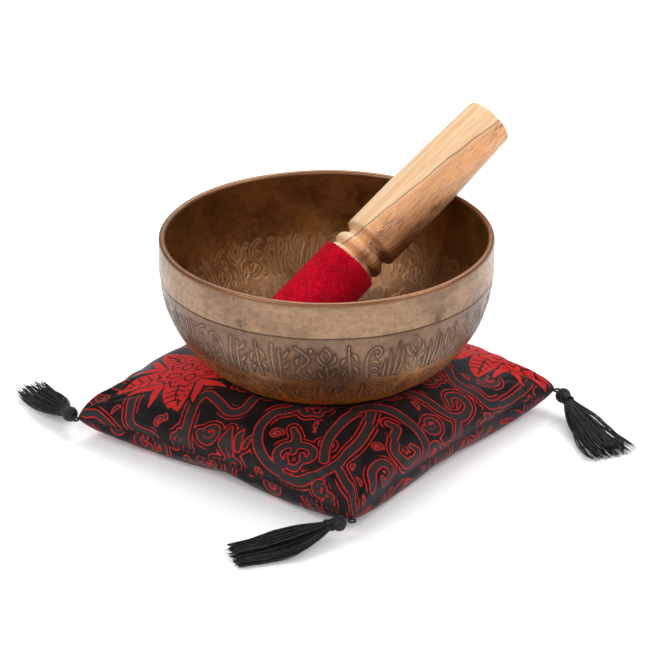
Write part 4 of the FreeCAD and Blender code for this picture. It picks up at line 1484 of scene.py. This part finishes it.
@dataclass
class Tassel:
    """A silk tassel on its corner loop, lying on the table."""

    corner: str
    heading: float
    end_half_width: float
    middle_half_width: float
    length: float
    seed: int
    seam: float = 10.0
    loop_radius: float = 1.5
    head_start: float = 2.45
    head_radius: float = 3.62
    binding_radius: float = 3.0
    binding_end: float = 12.7
    strands: int = 230
    strand_radius: float = 0.21

    def __post_init__(self) -> None:
        """Finds the loop's centre and starts the tassel's random draws."""
        low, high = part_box(f"tassel_{self.corner}_loop")
        self.origin = [(a + b) / 2 / MM for a, b in zip(low, high)]
        self.draw = random.Random(self.seed)

    def placed(self, path: Triples) -> np.ndarray:
        """Moves a path made along +X from the loop's centre to the corner."""
        points = np.array(path, dtype=float)
        angle = math.radians(self.heading)
        c, s = math.cos(angle), math.sin(angle)
        x = self.origin[0] + c * points[:, 0] - s * points[:, 1]
        y = self.origin[1] + s * points[:, 0] + c * points[:, 1]
        return np.column_stack([x, y, points[:, 2]])

    def build(self, silk: bpy.types.Material) -> None:
        """Makes the loop, the head, the binding and the skirt."""
        swing, hang = f"tassel_{self.corner}_turn", f"tassel_{self.corner}_hang"
        makers = (
            ("loop", self.loop(), 0.33, 1, swing),
            ("head", self.head(), 0.52, 1, hang),
            ("binding", self.binding(), 0.36, 1, hang),
            ("skirt", self.skirt(), self.strand_radius, 0, hang),
        )
        for part, paths, radius, sides, body in makers:
            piece = threads(f"{self.corner}_tassel_{part}", [self.placed(path) for path in paths], radius,
                sides)
            if part in ("head", "binding"):
                self.fill(piece, part)
            dress(piece, silk, body)
            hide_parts(f"tassel_{self.corner}_{part}")

    def loop(self) -> list[list[tuple[float, float, float]]]:
        """Twists two cords round the corner ring."""
        cords = []
        for ply in range(2):
            cord = []
            for number in range(49):
                turn = math.tau * number / 48
                twist = turn * 5 + math.pi * ply
                radius = self.loop_radius + 0.27 * math.cos(twist)
                cord.append((radius * math.cos(turn), radius * math.sin(turn),
                    self.seam + 0.27 * math.sin(twist)))
            cords.append(cord)
        return cords

    def head(self) -> list[list[tuple[float, float, float]]]:
        """Winds thread over the head from the loop to the neck and back."""
        middle = self.head_start + self.head_radius
        rounds = []
        for number in range(15):
            roll = math.pi * number / 15 + self.draw.uniform(-0.08, 0.08)
            ring = []
            for step in range(25):
                turn = math.tau * step / 24
                radius = (self.head_radius - 0.55) * (1 - 0.05 * math.cos(2 * turn))
                x, side = radius * math.cos(turn), radius * math.sin(turn)
                ring.append((middle + x * 0.98, side * math.cos(roll), self.seam + side * math.sin(roll)))
            rounds.append(ring)
        return rounds

    def binding(self) -> list[list[tuple[float, float, float]]]:
        """Winds thread round the neck, turn beside turn."""
        start = self.head_start + 2 * self.head_radius - 1.2
        turns = 6
        coil = []
        for number in range(turns * 16 + 1):
            turn = math.tau * number / 16
            share = number / (turns * 16)
            x = start + (self.binding_end - start) * share
            radius = self.binding_radius - 0.36 - 0.25 * math.sin(math.pi * share)
            coil.append((x, radius * math.cos(turn), self.seam - 0.3 + radius * math.sin(turn)))
        return [coil]

    def fill(self, piece: bpy.types.Object, part: str) -> None:
        """Adds the solid core that shows between the wound threads."""
        bm = bmesh.new()
        bm.from_mesh(piece.data)
        if part == "head":
            radius, middle, long = self.head_radius - 0.75, self.head_start + self.head_radius, 1.0
        else:
            radius, middle, long = self.binding_radius - 0.75, self.binding_end - 2.6, 1.25
        made = bmesh.ops.create_uvsphere(bm, u_segments=16, v_segments=10, radius=radius * MM)["verts"]
        centre = self.placed([(middle, 0.0, self.seam - (0.0 if part == "head" else 0.3))])[0] * MM
        turn = Matrix.Rotation(math.radians(self.heading), 4, "Z") @ Matrix.Diagonal((long, 1.0, 1.0, 1.0))
        bmesh.ops.transform(bm, matrix=Matrix.Translation(centre) @ turn, verts=made)
        bm.to_mesh(piece.data)
        bm.free()

    def skirt(self) -> list[list[tuple[float, float, float]]]:
        """Lets the strands fall from the neck to the table and fan out over it."""
        begin = self.binding_end - 1.5
        run = self.length - begin
        strands = []
        for _ in range(self.strands):
            spoke = self.draw.uniform(0.0, math.tau)
            far = math.sqrt(self.draw.random())
            side, lift = far * math.cos(spoke), far * math.sin(spoke)
            stray = self.draw.random() < 0.07
            reach = run * (self.draw.uniform(0.90, 1.0) if not stray else self.draw.uniform(0.75, 1.0))
            phase, wave = self.draw.uniform(0.0, math.tau), self.draw.uniform(0.12,
                0.55) * (2.2 if stray else 1.0)
            drift = self.draw.uniform(-0.07, 0.07)
            path = []
            for number in range(15):
                share = number / 14
                spread = self.spread(share)
                across = spread * (side + drift * share)
                across += wave * math.sin(phase + share * 8.0) * min(1.0, share * 2.5)
                middle = self.seam - 0.6 - 6.2 * min(1.0, share * 1.35) ** 0.8
                thick = 2.3 + 2.2 * math.sin(math.pi * min(share * 0.75, 0.5)) - 1.6 * max(0.0, share - 0.55)
                height = middle + thick * lift + wave * 0.6 * math.cos(phase + share * 6.0) * share
                path.append((begin + reach * share, across, max(self.strand_radius + 0.1, height)))
            strands.append(path)
        return strands

    def spread(self, share: float) -> float:
        """Gives the skirt's half width from the neck, at 0, to the ends, at 1."""
        if share < 0.5:
            ease = math.sin(math.pi * share)
            return 2.2 + (self.middle_half_width - 2.2) * ease
        ease = math.sin(math.pi * (share - 0.5))
        return self.middle_half_width + (self.end_half_width - self.middle_half_width) * ease


# The studio -----------------------------------------------------------------------------


@dataclass
class Studio:
    """A white table, soft daylight boxes and the camera."""

    elevation: float = 25.4
    distance: float = 1500.0
    target: tuple[float, float, float] = (2.73, 0.0, 47.6)
    lens: float = 173.7

    def camera(self) -> None:
        """Makes the camera."""
        data = bpy.data.cameras.new("camera")
        data.lens = self.lens
        data.sensor_width = 36.0
        data.clip_end = 20.0
        camera = bpy.data.objects.new("camera", data)
        bpy.context.collection.objects.link(camera)
        up = math.radians(self.elevation)
        reach = Vector((0.0, -math.cos(up), math.sin(up))) * self.distance
        camera.location = (Vector(self.target) + reach) * MM
        camera.rotation_euler = (math.radians(90.0 - self.elevation), 0.0, 0.0)
        bpy.context.scene.camera = camera

    def box(self, name: str, place: tuple[float, float, float], size: float, power: float,
            tall: float = 1.0) -> None:
        """Hangs a soft light box that faces the bowl."""
        data = bpy.data.lights.new(name, "AREA")
        data.shape = "RECTANGLE"
        data.size = size
        data.size_y = size * tall
        data.energy = power
        light = bpy.data.objects.new(name, data)
        light.location = place
        light.rotation_euler = (Vector((0.0, 0.0, 0.05)) - Vector(place)).to_track_quat("-Z", "Y").to_euler()
        bpy.context.collection.objects.link(light)

    def build(self) -> None:
        """Makes the table, whose glow paints light and a soft shadow round the set, the world and the lights.
        """
        bm = bmesh.new()
        bmesh.ops.create_grid(bm, x_segments=1, y_segments=1, size=6.0)
        floor = piece_from(bm, "table_top")
        g = Graph("white_table_painted_glow")
        far = g.node("ShaderNodeVectorMath", operation="LENGTH")
        g.feed(far.inputs[0], g.place)
        # The table glows as painted light, weaker near the set than far off, which paints a soft shadow round
        # it.
        painted_floor_glow = g.spread(far.outputs["Value"], 0.05, 0.27, 0.13, 0.34)
        g.set(Base_Color=(0.90, 0.90, 0.91), Roughness=0.8, Emission_Color=(1.0, 1.0, 1.0),
            Emission_Strength=painted_floor_glow)
        g.shader.inputs["Specular IOR Level"].default_value = 0.1
        floor.data.materials.append(g.material)
        world = bpy.data.worlds.new("studio")
        world.use_nodes = True
        world.node_tree.nodes["Background"].inputs["Color"].default_value = (1.0, 1.0, 1.0, 1.0)
        world.node_tree.nodes["Background"].inputs["Strength"].default_value = 0.44
        bpy.context.scene.world = world
        bpy.context.scene.view_settings.view_transform = "Standard"
        self.box("key_left", (-0.9, -0.7, 1.15), 0.9, 9.5)
        self.box("fill_right", (1.0, -0.3, 1.1), 0.8, 8.0)
        self.box("top_back", (0.1, 0.9, 1.3), 1.1, 15.0)
        self.box("front_soft", (0.0, -1.3, 0.85), 0.6, 3.5)


def main() -> None:
    """Builds the set in order: the camera, the bowl, the mallet, the cushion, the tassels and the studio."""
    logging.basicConfig(level=logging.INFO, format="%(relativeCreated)7d ms  %(message)s")
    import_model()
    studio = Studio()
    studio.camera()
    Bowl().build()
    Mallet().build()
    Cushion().build()
    silk = PlainThread("black_silk", (0.0055, 0.0045, 0.0058), (0.022, 0.019, 0.023), 0.34, 0.30).material()
    for tassel in (
        Tassel("left", 118.0, 8.4, 8.8, 53.0, 3),
        Tassel("front", 200.0, 8.8, 10.6, 56.0, 4),
        Tassel("right", -66.0, 12.4, 8.6, 56.5, 6),
        Tassel("back", 26.0, 10.0, 8.8, 54.0, 9),
    ):
        tassel.build(silk)
    studio.build()


if __name__ == "__main__":
    main()
